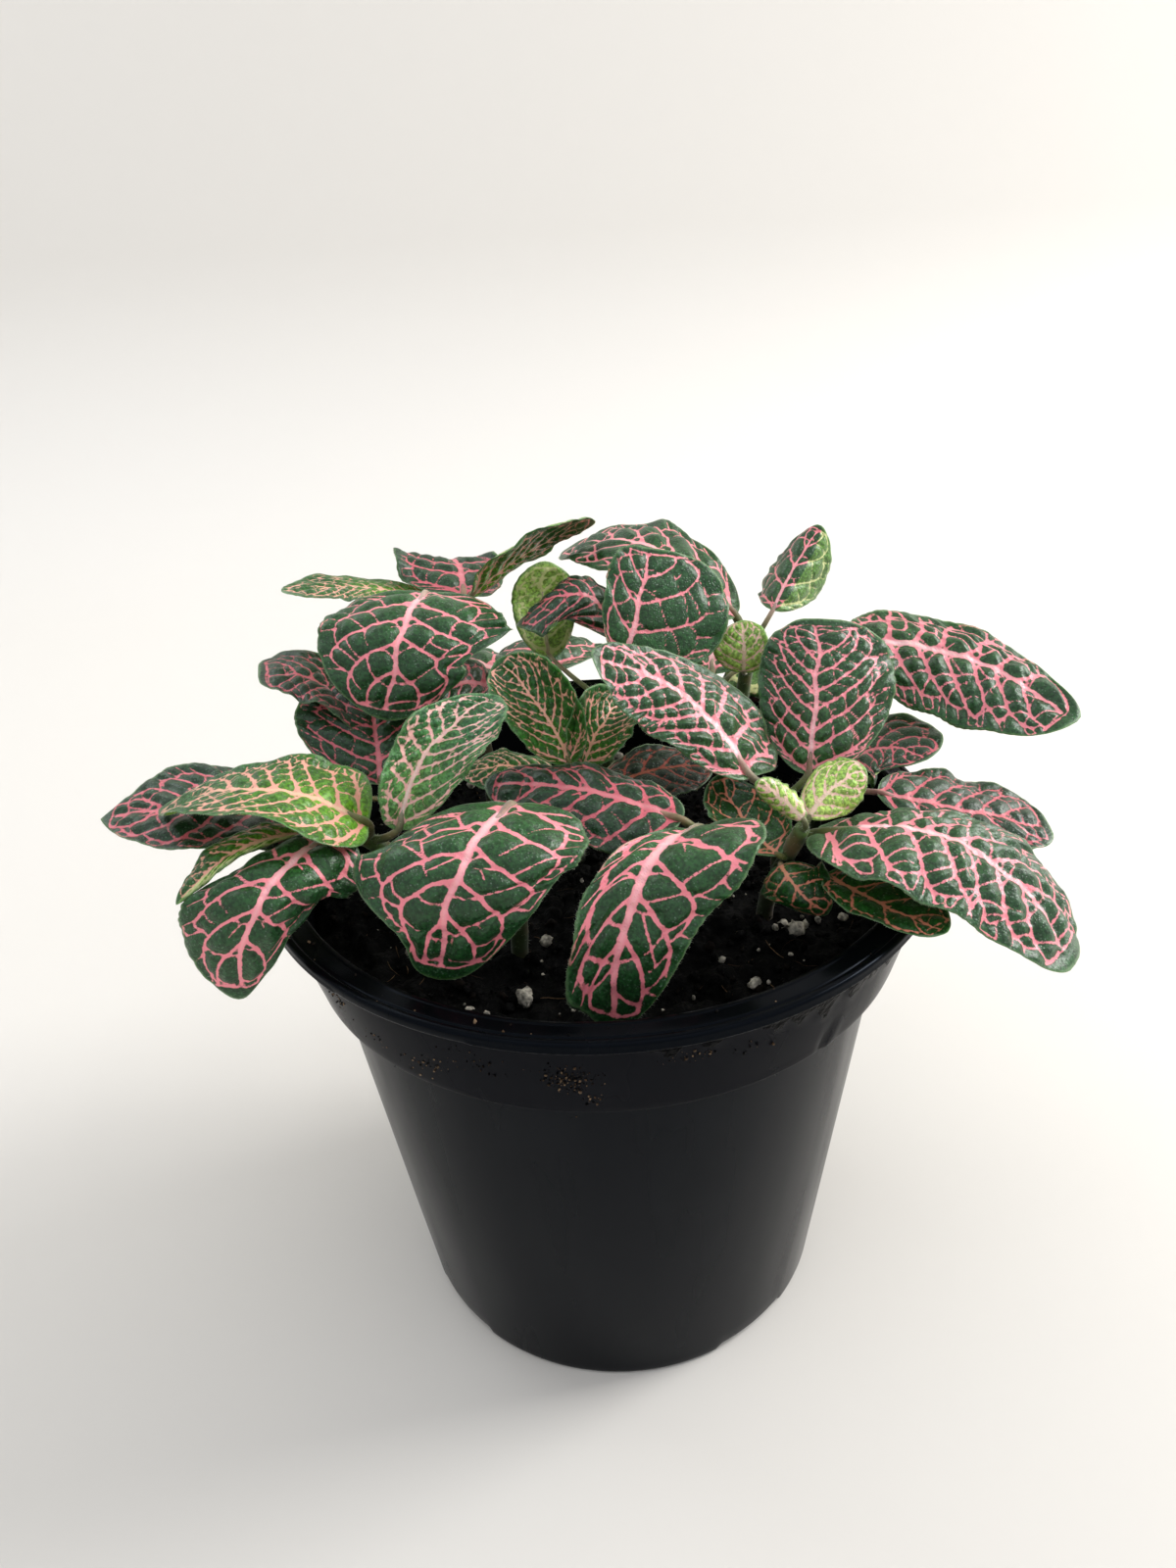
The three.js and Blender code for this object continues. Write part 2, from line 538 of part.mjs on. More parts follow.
// Bumpy plug of soil that fills the pot, with grains of perlite standing out of it
function soil() {
  const random = seededRandom(SEED);
  const bandBottom = POT_HEIGHT - BAND_HEIGHT;
  const bandRadius = (z) => BAND_BOTTOM_RADIUS - WALL
    + ((LIP_INNER_RADIUS - BAND_BOTTOM_RADIUS + WALL) * (z - bandBottom)) / BAND_HEIGHT;
  const edgeHeight = SOIL_TOP - 1;
  const bottom = FLOOR + SOIL_GAP;
  const rings = [
    [wallRadius(FLOOR) - 2 * WALL - 2 * SOIL_GAP, bottom],
    [wallRadius(bottom) - WALL - SOIL_GAP, bottom + 2 * WALL],
    [BODY_TOP_RADIUS - WALL - 2 * SOIL_GAP, bandBottom + SOIL_GAP],
    [BODY_TOP_RADIUS - WALL - SOIL_GAP, bandBottom + 2 * WALL],
    [bandRadius(edgeHeight) - 4 * SOIL_GAP, edgeHeight - 1],
  ];
  const points = [[0, 0, bottom]];
  const triangles = [];
  const ring = (radius, height, rough) => {
    for (let k = 0; k < SOIL_SEGMENTS; k += 1) {
      const angle = (2 * Math.PI * k) / SOIL_SEGMENTS;
      const z = height + rough * (random() * 2 - 1);
      points.push([radius * Math.cos(angle), radius * Math.sin(angle), z]);
    }
  };
  rings.forEach(([radius, height]) => ring(radius, height, 0));
  const edge = rings[rings.length - 1][0];
  for (let i = 1; i < SOIL_RINGS; i += 1) {
    ring(edge * (1 - i / SOIL_RINGS), SOIL_TOP + SOIL_CROWN * (i / SOIL_RINGS), SOIL_ROUGHNESS);
  }
  points.push([0, 0, SOIL_TOP + SOIL_CROWN]);
  const loops = rings.length + SOIL_RINGS - 1;
  const last = points.length - 1;
  for (let k = 0; k < SOIL_SEGMENTS; k += 1) {
    const next = (k + 1) % SOIL_SEGMENTS;
    triangles.push([0, 1 + next, 1 + k]);
    for (let i = 0; i < loops - 1; i += 1) {
      const a = 1 + i * SOIL_SEGMENTS + k;
      const b = 1 + i * SOIL_SEGMENTS + next;
      triangles.push([a, b, a + SOIL_SEGMENTS], [b, b + SOIL_SEGMENTS, a + SOIL_SEGMENTS]);
    }
    const top = 1 + (loops - 1) * SOIL_SEGMENTS;
    triangles.push([top + k, top + next, last]);
  }
  let solid = toManifold(indexedGeometry(points, triangles));
  for (let i = 0; i < PERLITE_GRAINS; i += 1) {
    const radius = PERLITE_SPREAD * Math.sqrt(random());
    const angle = 2 * Math.PI * random();
    const grain = new THREE.OctahedronGeometry(PERLITE_RADIUS.smallest + PERLITE_RADIUS.range * random());
    grain.rotateZ(Math.PI * random());
    grain.translate(radius * Math.cos(angle), radius * Math.sin(angle), SOIL_TOP + SOIL_CROWN / 2);
    solid = solid.add(toManifold(grain));
  }
  SHOOTS.forEach(({ stem }) => {
    const hole = new THREE.CylinderGeometry(
      STEM_RADIUS + STEM_GAP, STEM_RADIUS + STEM_GAP, STEM_HOLE_DEPTH * 2, STEM_HOLE_SIDES);
    hole.rotateX(Math.PI / 2);
    hole.translate(stem[0][0], stem[0][1], SOIL_TOP);
    solid = solid.subtract(toManifold(hole));
  });
  return toMesh('soil', solid, MATERIALS.soil);
}

const foliage = new THREE.Group();
foliage.name = 'foliage';
SHOOTS.forEach((spec) => foliage.add(shoot(spec)));

const plant = new THREE.Group();
plant.name = 'potted_nerve_plant';
plant.add(pot());
plant.add(soil());
plant.add(foliage);

export default plant;
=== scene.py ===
import math

import bpy
import numpy as np
from mathutils import Matrix


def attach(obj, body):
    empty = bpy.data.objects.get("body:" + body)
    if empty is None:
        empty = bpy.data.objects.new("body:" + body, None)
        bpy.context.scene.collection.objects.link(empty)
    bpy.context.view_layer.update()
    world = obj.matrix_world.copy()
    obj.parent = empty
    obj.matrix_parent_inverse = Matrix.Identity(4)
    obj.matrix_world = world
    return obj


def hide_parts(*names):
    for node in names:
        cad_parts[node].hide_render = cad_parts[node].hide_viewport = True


# Potted nerve plant: pink-veined leaves on short stems in a black plastic nursery pot.
# Shapes are written in millimetres, +Z up, with the plant's front towards -Y.

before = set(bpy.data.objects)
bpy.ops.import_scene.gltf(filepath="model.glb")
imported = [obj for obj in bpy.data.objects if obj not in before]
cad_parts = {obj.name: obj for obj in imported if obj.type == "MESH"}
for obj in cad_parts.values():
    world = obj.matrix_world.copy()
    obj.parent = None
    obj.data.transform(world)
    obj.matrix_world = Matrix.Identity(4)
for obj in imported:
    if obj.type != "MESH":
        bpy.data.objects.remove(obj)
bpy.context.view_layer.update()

METRES = 0.001
TAU = 2 * math.pi

# Seeds of the random draws
POT_SEED = 11
SOIL_SEED = 21
SOIL_WAVES_SEED = 22
SPECKS_SEED = 31
FIRST_SHOOT_SEED = 40

# Camera
FOCAL_LENGTH = 27
SENSOR_SIZE = 36
CAMERA_PLACE = (0, -163.7, 190.6)
CAMERA_PITCH = 29.7
CAMERA_YAW = -0.53
CAMERA_ROLL = -3.33

# Pot
POT_HEIGHT = 91
LIP_RADIUS = 54
LIP_INNER_RADIUS = 49.3
LIP_THICKNESS = 1.8
LIP_ROUNDING = 0.5
UNDER_LIP = POT_HEIGHT - LIP_THICKNESS
BAND_HEIGHT = 17.6
BAND_BASE = POT_HEIGHT - BAND_HEIGHT
BAND_TOP_RADIUS = 52.4
BAND_BOTTOM_RADIUS = 48.6
BODY_TOP_RADIUS = 45.8
BASE_RADIUS = 37
BASE_EDGE_ROUNDING = 1.2
WALL = 1.3
FLOOR = 2
ARCH = {"count": 4, "first": -52.7, "width": 15, "depth": 3, "height": 1.1}
DRAIN_HOLE = {"place": 26, "radius": 3, "depth": 1.7}
POT_SEGMENTS = 320
POT_SPACING = 1

# Angles on the pot are in degrees from its front, positive towards +X. The band has one crease, with
# a low ridge beside it. Wet soil hangs as films under the lip, each given by its two ends and depth.
CREASE = {"angle": 37, "low": 74, "high": 82, "depth": 0.32, "width": 0.55}
CREASE_SIDE = {"away": 1.6, "height": 0.2, "width": 1.1}
FILMS = [(2, 68, 3.2), (22, 64, 7), (-20, 4, 1.3), (-62, -42, 1.2)]
FILM_THICKNESS = 0.14
NO_FILM = -5

# Clusters of soil specks on the outside of the pot: angle, height, half width, half height, count
SPECK_CLUSTERS = [
    (-48, 84.5, 2, 3.4, 110), (-46.5, 87, 1.5, 1, 26), (-40.8, 80, 2.2, 1.9, 70), (-35, 78, 3, 2, 36),
    (-29.6, 79.3, 2, 1.6, 50), (-6, 82, 3, 2.6, 210), (-3, 77.5, 1.6, 1.2, 20), (11.4, 85, 4, 1, 46),
    (22, 84, 4, 1.5, 26), (-8, 71, 3, 1.5, 10), (-20, 83, 9, 3.5, 44), (140, 82, 6, 3, 60),
    (-130, 84, 5, 3, 50),
]
LIP_SPECKS = 60
SPECK_COLOURS = [(14, 12, 11), (36, 29, 23), (132, 112, 90), (8, 8, 8), (84, 68, 52)]

# Soil
SOIL_TOP = 80
SOIL_CROWN = 1.2
SOIL_GAP = 0.3
SOIL_WAVES = [(0.11, 0.5), (0.33, 0.32), (0.8, 0.2), (1.7, 0.14)]
SOIL_LUMPS = 2600
SOIL_SEGMENTS = 280
SOIL_RINGS = 84
CRUMBS = 1900
FIBRES = 130
SMALL_PERLITE = 140
SOIL_COLOUR = (4, 4, 4)
CRUMB_COLOURS = [(4, 4, 4), (8, 7, 6), (26, 20, 16), (3, 3, 3)]
FIBRE_COLOURS = [(104, 84, 64), (74, 58, 46), (136, 112, 86)]
PERLITE_COLOUR = (206, 200, 188)

# Grains of perlite that show: x, y and radius
PERLITE = [
    (-12, -31, 1.45), (-20, -33, 0.8), (-17.5, -34, 0.6), (-9, -20, 1), (29, -20, 1.3), (27.2, -18.4, 0.9),
    (30.6, -18.6, 0.8), (26, -19, 0.6), (21, -32, 1), (37, -16, 0.8), (33, -16.5, 0.6), (17, -26, 0.6),
    (-30, -20, 0.8), (-4, -40, 0.5), (9, -43, 0.5), (-26, -36, 0.6), (-8, 14, 1.1), (18, 30, 1.3),
    (-24, 30, 1), (34, 8, 0.9), (-38, 12, 1), (4, 38, 1.1),
]

# Leaves
BLADE_THICKNESS = 0.55
GRID_SPACING = 0.27
REAR_DETAIL = 0.75
SMALLEST_ROWS = 24
TIP_SHARPNESS = 0.6
HEEL_SHARPNESS = 0.5
OUTLINE_FULLNESS = 2.3
OUTLINE_POINTS = 90
TOOTH_LENGTH = 1.5
TOOTH_DEPTH = 0.16
WIDE_BLADE = 16
LONG_BLADE = 36
CURL_START = 0.3
UNDERSIDE = (104, 142, 62)
UNDERSIDE_VEIN = (206, 208, 150)
UNDERSIDE_VEIN_SPREAD = 0.06

# How deep veins of each rank sink into the blade, and how far their valleys reach
VALLEYS = {"midrib": (0.8, 1.3), "side": (0.55, 1.15), "cross": (0.3, 0.7)}

# Distances that mean that there is no vein near, while measuring and in the finished piece
FAR_FROM_VEINS = 50.0
NO_VEIN = 5

# Stems, stalks and hairs. A stalk's first points, before it runs under the blade, are bare and hairy.
STEM_POINTS = 30
STEM_SIDES = 16
STALK_SIDES = 10
BARE_POINTS = 12
STALK_COLOUR = (86, 100, 46)
STEM_COLOUR = (76, 98, 46)
HAIR_SHARE = 0.55
HAIR_COLOUR = (186, 200, 172)
MARGIN_HAIR = {"length": 0.34, "radius": 0.022}
STALK_HAIR = {"length": 0.5, "radius": 0.025}
STEM_HAIR = {"length": 0.6, "radius": 0.025}
STALK_HAIRS = 40
STEM_HAIRS = 150

# Colours are as seen, 0 to 255. The blade's colour goes to heart towards the leaf's base and midrib,
# and the veins' colour to a paler core along the midrib, partly the midrib's own colour and partly painted
# highlight. Width scales the veins, pairs counts the side veins, cell is the spacing of the rungs between
# them in millimetres and quilt the strength of the relief.
TONE_VALUES = ("blade", "heart", "vein", "core_and_highlight", "width", "pairs", "cell", "quilt")
TONE_ROWS = {
    "dark": ((36, 74, 40), (46, 88, 42), (242, 146, 156), (250, 198, 200), 0.95, 5, 4.9, 1),
    "old": ((38, 74, 42), (52, 88, 44), (238, 146, 156), (250, 208, 208), 0.76, 7, 3.3, 1.15),
    "light": ((36, 86, 34), (114, 162, 44), (232, 168, 150), (236, 206, 170), 0.56, 8, 3, 0.8),
    "lime": ((136, 170, 78), (190, 212, 118), (240, 200, 186), (242, 226, 196), 0.66, 6, 2.6, 0.9),
    "pale": ((54, 104, 62), (124, 168, 98), (240, 188, 182), (248, 232, 218), 0.56, 8, 2.8, 0.9),
    "young": ((36, 90, 36), (76, 128, 46), (238, 176, 160), (234, 190, 150), 0.6, 8, 3, 0.9),
    # Painted shade: this row and the two below it are darker copies of the leaf colours, for leaves that lie
    # in the shadow of other leaves
    "darkest_shade": ((18, 40, 24), (24, 46, 24), (150, 74, 62), (160, 96, 62), 0.75, 6, 3.6, 0.8),
    "shade": ((26, 72, 26), (40, 88, 32), (216, 138, 118), (220, 160, 126), 0.68, 5, 3.4, 0.7),
    "deep_shade": ((29, 58, 36), (38, 70, 40), (206, 108, 120), (216, 140, 146), 0.8, 6, 4.4, 0.9),
}
TONES = {name: dict(zip(TONE_VALUES, row)) for name, row in TONE_ROWS.items()}


def new_leaf(tone, base, middle, tip, left, right, ruffle, waves, stalk, **special):
    """A leaf, given by points on its upper face.

    Base, middle and tip lie along the midrib, left and right are the widest places of the margin as
    seen from the base. Ruffle is the height of the waves in the margin, waves their number along each
    side, and stalk the leaf's place along the stem. Special values are heel and point, the sharpness
    of its two ends, lobes, each by side, place, size and spread, and curled, the side, -1 or 1, whose
    outer part is coloured like the paler underside."""
    return {"tone": tone, "base": base, "middle": middle, "tip": tip, "left": left, "right": right,
            "ruffle": ruffle, "waves": waves, "stalk": stalk, **special}


# Each shoot is a list of the points of its stem, then its leaves.
SHOOTS = {
    "shoot_front_left": [
        [(-24, -14, 68.5), (-24, -14, 82), (-29, -16, 94), (-35, -18, 101)],
        new_leaf("light", (-33, -19, 103.5), (-41, -21, 110), (-63.5, -16, 106), (-42, -31, 111),
                 (-38, -11, 109.5), 0.6, 2.5, 0.97, heel=0.35, point=0.75),
        new_leaf("deep_shade", (-39, -13, 101), (-55, -14, 105), (-74, -13, 103), (-52, -25, 104), (-60, -3, 106),
                 0.4, 2, 0.86, point=0.95),
        new_leaf("dark", (-38, -21, 104), (-44, -33, 103.5), (-52, -34, 85), (-36, -29, 98),
                 (-56, -31, 100.5), 0.7, 2.5, 0.9, heel=0.4, lobes=[(-1, 0.62, 0.15, 0.2)]),
        new_leaf("light", (-42, -20, 103), (-50, -27, 105), (-58, -32, 100), (-51, -29, 104),
                 (-53, -24, 105), 0.4, 2, 0.93, curled=-1),
        new_leaf("pale", (-29, -19, 102), (-24, -13, 112), (-14, -5, 116), (-29, -17, 114), (-15, -17, 114),
                 0.7, 3, 0.95, heel=0.5),
    ],
    "shoot_front_middle": [
        [(-13, -22, 68.5), (-13, -22, 82), (-12, -22, 93), (-11, -21, 101)],
        new_leaf("dark", (-12, -21, 107), (-18, -36, 107), (-23, -37, 89), (-3, -34, 105), (-32, -30, 105),
                 0.7, 2.5, 0.95, heel=0.3, point=0.45, lobes=[(1, 0.9, -0.5, 0.13)]),
    ],
    "shoot_centre": [
        [(14, -13, 68.5), (14, -13, 82), (15, -15, 92), (16, -18, 98)],
        new_leaf("dark", (14, -22, 102), (7.5, -32.5, 105), (0, -41, 81), (20.5, -36, 106),
                 (-1.5, -36, 103.5), 0.7, 2.5, 0.97, lobes=[(1, 0.78, 0.35, 0.16), (-1, 0.68, -0.14, 0.2)]),
        new_leaf("deep_shade", (12, -20, 102), (1, -15, 104), (-17, -8, 103), (-2, -22, 99), (2, -8, 104),
                 0.8, 2.5, 0.93),
    ],
    "shoot_front_right": [
        [(25, -15, 68.5), (25, -15, 82), (27, -18, 92), (29, -21, 100)],
        new_leaf("old", (31, -19, 98), (47, -25, 101), (65, -35, 84), (57.5, -15, 95.5), (39, -36, 99),
                 0.6, 3.5, 0.9, heel=0.35, point=0.45),
        new_leaf("shade", (32, -24, 94), (38.5, -31.5, 93.5), (45.5, -38.5, 93.5), (43.5, -27, 94),
                 (35, -34, 93.5), 0.4, 2, 0.7),
        new_leaf("shade", (26, -21, 94), (27, -26, 94), (32, -27, 89), (32, -22, 94), (23, -24, 91),
                 0.4, 2, 0.72),
        new_leaf("shade", (26, -20, 95), (22, -12, 96), (19, -4, 100), (17, -15, 98), (27, -14, 100),
                 0.5, 2, 0.78),
        new_leaf("lime", (29, -22, 102), (26, -21, 105), (22, -21, 108), (25, -20, 103), (27, -19, 106),
                 0.3, 2, 0.99),
        new_leaf("lime", (30, -20, 101), (34, -17.5, 104.5), (39, -15.5, 106), (33, -12.8, 105.5),
                 (36.8, -18.6, 101.3), 0.4, 2, 0.99),
    ],
    "shoot_centre_right": [
        [(29, -3, 68.5), (29, -3, 82), (29, -4, 91), (29, -5, 97)],
        new_leaf("old", (23.5, -9, 102), (14, -4, 114), (0, -6, 122), (8, -10, 111), (23.5, 4, 110),
                 0.5, 3, 0.95, heel=0.4, lobes=[(1, 0.8, -0.35, 0.2)]),
        new_leaf("old", (33, -4, 99), (35, 3, 110), (37, 13, 118), (27, 9, 110), (48, 6, 109),
                 0.7, 2.5, 0.95, point=0.35),
    ],
    "shoot_middle": [
        [(-4, 4, 68.5), (-4, 4, 82), (-3, 1, 93), (-3, -2, 101)],
        new_leaf("young", (-4, -4, 103), (-7.5, 1, 109.5), (-15, 8, 116), (-13.5, -5, 112), (-3, -2, 115.5),
                 0.5, 2, 0.98, point=0.6),
        new_leaf("young", (-2, -3, 102), (1, 1, 107), (5, 6, 108.5), (-2, -1, 113), (6, -4, 108.5),
                 0.5, 2, 0.98),
        new_leaf("young", (-6, 0, 97.5), (-13, 2, 100), (-22, 3, 98.5), (-14, -4, 98.5), (-13, 8, 99.5),
                 0.5, 2, 0.75),
        new_leaf("darkest_shade", (1, -1, 96.5), (9, 2, 98), (19, 3.5, 97), (8, 8, 99), (11, -5, 96.5),
                 0.5, 2, 0.7),
    ],
    "shoot_left": [
        [(-29, 5, 68.5), (-29, 5, 82), (-31, 5, 91), (-33, 5, 97)],
        new_leaf("deep_shade", (-35, 2, 98), (-36, 9, 105), (-39, 20, 109), (-49, 10, 106), (-26, 12, 103),
                 0.8, 2.5, 0.95),
        new_leaf("deep_shade", (-38, 10, 101), (-49, 18, 111), (-56, 18, 111), (-47, 10, 110), (-51, 28, 111),
                 0.7, 2, 0.9, point=0.35),
        new_leaf("shade", (-38, 0, 97), (-48, -2, 99), (-58, 2, 96), (-50, -8, 98), (-49, 6, 98),
                 0.5, 2, 0.85),
    ],
    "shoot_back_left": [
        [(-19, 22, 68.5), (-19, 22, 82), (-21, 25, 100), (-25, 29, 115)],
        new_leaf("dark", (-27, 25, 122), (-30, 10, 120), (-33, 5, 108), (-14.5, 14, 118.5), (-43, 14, 121),
                 0.6, 2.5, 0.97, heel=0.35, lobes=[(-1, 0.74, -0.2, 0.06), (-1, 0.56, 0.12, 0.1)]),
        new_leaf("light", (-28, 33, 117), (-37, 36, 119), (-51, 27, 122), (-38, 27, 120), (-40, 45, 118),
                 0.5, 2, 0.98),
        new_leaf("light", (-20, 29, 119), (-11, 34, 124), (2, 40, 127.5), (-12, 26, 129), (-9, 39, 122),
                 0.5, 2.5, 0.98),
        new_leaf("deep_shade", (-22, 35, 117), (-24, 46, 120), (-33, 58, 110), (-34, 40, 122), (-15, 41, 120),
                 0.7, 2, 0.95),
        new_leaf("deep_shade", (-17, 16, 108), (-23, 10, 111), (-28, 4, 109), (-24, 4, 108), (-22, 17, 113),
                 0.4, 2, 0.6),
    ],
    "shoot_back_middle": [
        [(2, 16, 68.5), (2, 16, 84), (2, 16, 98), (3, 13, 108)],
        new_leaf("dark", (5, 11, 113), (8, 15, 120), (10, 22, 128.5), (3, 17, 124), (22.5, 17, 116),
                 0.6, 2.5, 0.97, point=0.38),
        new_leaf("lime", (-7, 22, 110), (-8, 30, 116), (-7, 31, 124), (-2, 31, 117), (-13, 29, 118),
                 0.5, 2, 0.9),
        new_leaf("deep_shade", (5, 22, 113), (-1, 21, 121.5), (-12, 20, 117), (-7, 15, 118), (-1, 27, 122.5),
                 0.4, 2, 0.93),
    ],
    "shoot_back_right": [
        [(25, 22, 68.5), (25, 22, 84), (26, 23, 98), (28, 26, 109)],
        new_leaf("dark", (26, 29, 113), (14, 36, 123), (-3, 51, 119.5), (6, 25, 123), (17, 49, 123),
                 0.7, 2.5, 0.97),
        new_leaf("dark", (32, 28, 114), (36, 33, 119), (42, 39, 125), (33, 40, 116), (42, 37, 114),
                 0.6, 2, 0.97, curled=1),
        new_leaf("lime", (26, 20, 106), (26, 20, 110), (26, 24, 114), (21, 21, 110), (30, 19, 111),
                 0.4, 2, 0.9),
    ],
    "shoot_right": [
        [(37, 9, 68.5), (37, 9, 83), (39, 13, 95), (42, 19, 103)],
        new_leaf("old", (45, 25, 109), (62, 19, 108), (78, 5, 101), (58, 31, 110.5), (57, 11, 100),
                 0.6, 3, 0.97, point=0.45),
        new_leaf("deep_shade", (42, 8, 94), (48, 9, 96), (54, 4, 96), (52, 18, 97), (44, 1, 94), 0.6, 2, 0.6),
        new_leaf("deep_shade", (44, -4, 95.5), (56.5, -6.5, 93), (71, -7, 89), (58, 4, 93), (56.5, -13, 90.5),
                 0.8, 2.5, 0.5, point=0.35),
    ],
    "shoot_rear_left": [
        [(-10, 36, 68.5), (-10, 36, 82), (-10, 38, 90), (-11, 41, 96)],
        new_leaf("dark", (-11, 44, 97), (-9, 58, 99), (-8, 70, 88), (-21, 57, 94), (3, 58, 95),
                 0.9, 2.5, 0.95),
        new_leaf("dark", (-14, 42, 96), (-27, 52, 98), (-40, 58, 88), (-34, 44, 95), (-21, 60, 95),
                 0.9, 2.5, 0.9),
    ],
    "shoot_rear_right": [
        [(20, 35, 68.5), (20, 35, 82), (21, 37, 89), (22, 39, 95)],
        new_leaf("dark", (23, 42, 96), (25, 56, 98), (28, 69, 88), (14, 57, 94), (37, 54, 95),
                 0.9, 2.5, 0.95),
        new_leaf("dark", (25, 39, 95), (39, 46, 97), (53, 53, 88), (36, 36, 94), (33, 57, 91),
                 0.8, 2.5, 0.9),
    ],
}


# Colour and small maths

def linear(colour):
    """A colour as seen, 0 to 255, as the linear red, green and blue that shaders use."""
    seen = np.array(colour, float) / 255
    return np.where(seen <= 0.04045, seen / 12.92, ((seen + 0.055) / 1.055) ** 2.4)


def rgba(colour):
    return (*linear(colour), 1)


def unit(vectors):
    length = np.linalg.norm(vectors, axis=-1, keepdims=True)
    return vectors / np.maximum(length, 1e-9)


def mix(a, b, weight):
    """Rows of values from a, where the weight is 0, to b, where it is 1."""
    return a + (b - a) * np.asarray(weight)[..., None]


def smoothstep(low, high, value):
    x = np.clip((value - low) / (high - low), 0, 1)
    return x * x * (3 - 2 * x)


def smooth_least(a, b, reach):
    """The lesser of two distances, a little less still where both are about the same."""
    near = np.clip(1 - np.abs(a - b) / reach, 0, 1)
    return np.minimum(a, b) - near ** 2 * reach / 4


def wobble(rng, place, waves, count=5):
    """Smooth random curve of one value, about -1 to 1, that repeats after place goes from 0 to 1."""
    total = np.zeros_like(place)
    for _ in range(count):
        turns = rng.integers(max(1, waves // 2), waves + 1)
        total += np.sin(TAU * (turns * place + rng.random())) / count ** 0.5
    return total


def lengths(path):
    """How far along the path each of its points lies."""
    return np.concatenate([[0], np.cumsum(np.linalg.norm(np.diff(path, axis=0), axis=1))])


def point_at(path, reach, place):
    """The path's point, or points, as far along it as place says."""
    return np.stack([np.interp(place, reach, values) for values in path.T], axis=-1)


def smooth_path(points, count):
    """Points spread evenly along a smooth curve through the given ones."""
    points = np.array(points, float)
    ends = np.vstack([2 * points[0] - points[1], points, 2 * points[-1] - points[-2]])
    fine = []
    for i in range(len(points) - 1):
        a, b, c, d = ends[i:i + 4]
        u = np.linspace(0, 1, 20, endpoint=i == len(points) - 2)[:, None]
        fine.append(0.5 * (2 * b + (c - a) * u + (2 * a - 5 * b + 4 * c - d) * u ** 2
                           + (3 * b - a - 3 * c + d) * u ** 3))
    fine = np.vstack(fine)
    reach = lengths(fine)
    return point_at(fine, reach, np.linspace(0, reach[-1], count))


def curve_between(start, control, end, count=6):
    u = np.linspace(0, 1, count)[:, None]
    return (1 - u) ** 2 * start + 2 * u * (1 - u) * control + u ** 2 * end


# Meshes

def add_object(name, data):
    thing = bpy.data.objects.new(name, data)
    bpy.context.scene.collection.objects.link(thing)
    return thing


class Patchwork:
    """Gathers triangles in millimetres, with values for each point and a flat chart for each part.

    Fields gives the number of values, 1 or 3, that a point has under each name."""

    def __init__(self, **fields):
        self.points = []
        self.triangles = []
        self.slots = []
        self.charts = []
        self.widths = fields
        self.fields = {field: [] for field in fields}
        self.count = 0

    def add(self, points, triangles, charts, slot=0, **values):
        self.points.append(points)
        self.triangles.append(triangles + self.count)
        self.slots.append(np.full(len(triangles), slot))
        self.charts.extend(charts)
        self.count += len(points)
        for field, width in self.widths.items():
            shape = (len(points),) if width == 1 else (len(points), width)
            self.fields[field].append(np.broadcast_to(np.asarray(values[field], float), shape))

    def piece(self, name, materials):
        points = np.concatenate(self.points) * METRES
        triangles = np.concatenate(self.triangles)
        mesh = bpy.data.meshes.new(name)
        mesh.vertices.add(len(points))
        mesh.vertices.foreach_set("co", points.ravel())
        mesh.loops.add(triangles.size)
        mesh.loops.foreach_set("vertex_index", triangles.ravel())
        mesh.polygons.add(len(triangles))
        mesh.polygons.foreach_set("loop_start", np.arange(0, triangles.size, 3))
        for material in materials:
            mesh.materials.append(material)
        mesh.polygons.foreach_set("material_index", np.concatenate(self.slots))
        mesh.update(calc_edges=True)
        mesh.shade_smooth()
        for field, width in self.widths.items():
            values = np.concatenate(self.fields[field])
            if width == 1:
                mesh.attributes.new(field, "FLOAT", "POINT").data.foreach_set("value", values)
            else:
                colours = np.column_stack([values, np.ones(len(values))])
                mesh.attributes.new(field, "FLOAT_COLOR", "POINT").data.foreach_set("color", colours.ravel())
        layer = mesh.uv_layers.new(name="OFBake")
        layer.data.foreach_set("uv", packed_charts(self.charts).ravel())
        return add_object(name, mesh)


def packed_charts(charts):
    """The corners of all charts, laid side by side in rows within a square from 0 to 1."""
    gap = 0.4
    spare = 1.1
    corners = [chart.reshape(-1, 2) for chart in charts]
    boxes = [corner.max(axis=0) - corner.min(axis=0) + gap for corner in corners]
    room = spare * math.sqrt(sum(box[0] * box[1] for box in boxes))
    room = max(room, max(box[0] for box in boxes))
    placed = [None] * len(charts)
    x = y = row = 0
    for index in sorted(range(len(charts)), key=lambda i: -boxes[i][1]):
        width, height = boxes[index]
        if x + width > room:
            x = 0
            y += row
            row = 0
        placed[index] = corners[index] - corners[index].min(axis=0) + np.array([x, y]) + gap / 2
        x += width
        row = max(row, height)
    return np.concatenate(placed) / max(room, y + row)


def grid_numbers(rows, columns):
    """Row and column numbers of every place in a grid, as two flat lists."""
    return (grid.ravel() for grid in np.meshgrid(rows, columns, indexing="ij"))


def ring_body(rings, ends, reach, width):
    """Closed body of rings of points between two end points, with a chart of its side unrolled.

    Reach is how far along each ring lies, and width the width of each step around in the chart."""
    count, sides = rings.shape[:2]
    i, k = grid_numbers(np.arange(count - 1), np.arange(sides))
    a, b = i * sides + k, i * sides + (k + 1) % sides
    around = np.stack([a, b, a + sides, b, b + sides, a + sides], axis=1).reshape(-1, 3)
    x0, x1, y0, y1 = k * width, (k + 1) * width, reach[i], reach[i + 1]
    chart = np.stack([x0, y0, x1, y0, x0, y1, x1, y0, x1, y1, x0, y1], axis=1).reshape(-1, 3, 2)
    ring = np.arange(sides)
    following = (ring + 1) % sides
    last = (count - 1) * sides
    start = np.stack([np.full(sides, count * sides), following, ring], axis=1)
    end = np.stack([np.full(sides, count * sides + 1), last + ring, last + following], axis=1)
    return np.vstack([rings.reshape(-1, 3), ends]), np.vstack([around, start, end]), chart


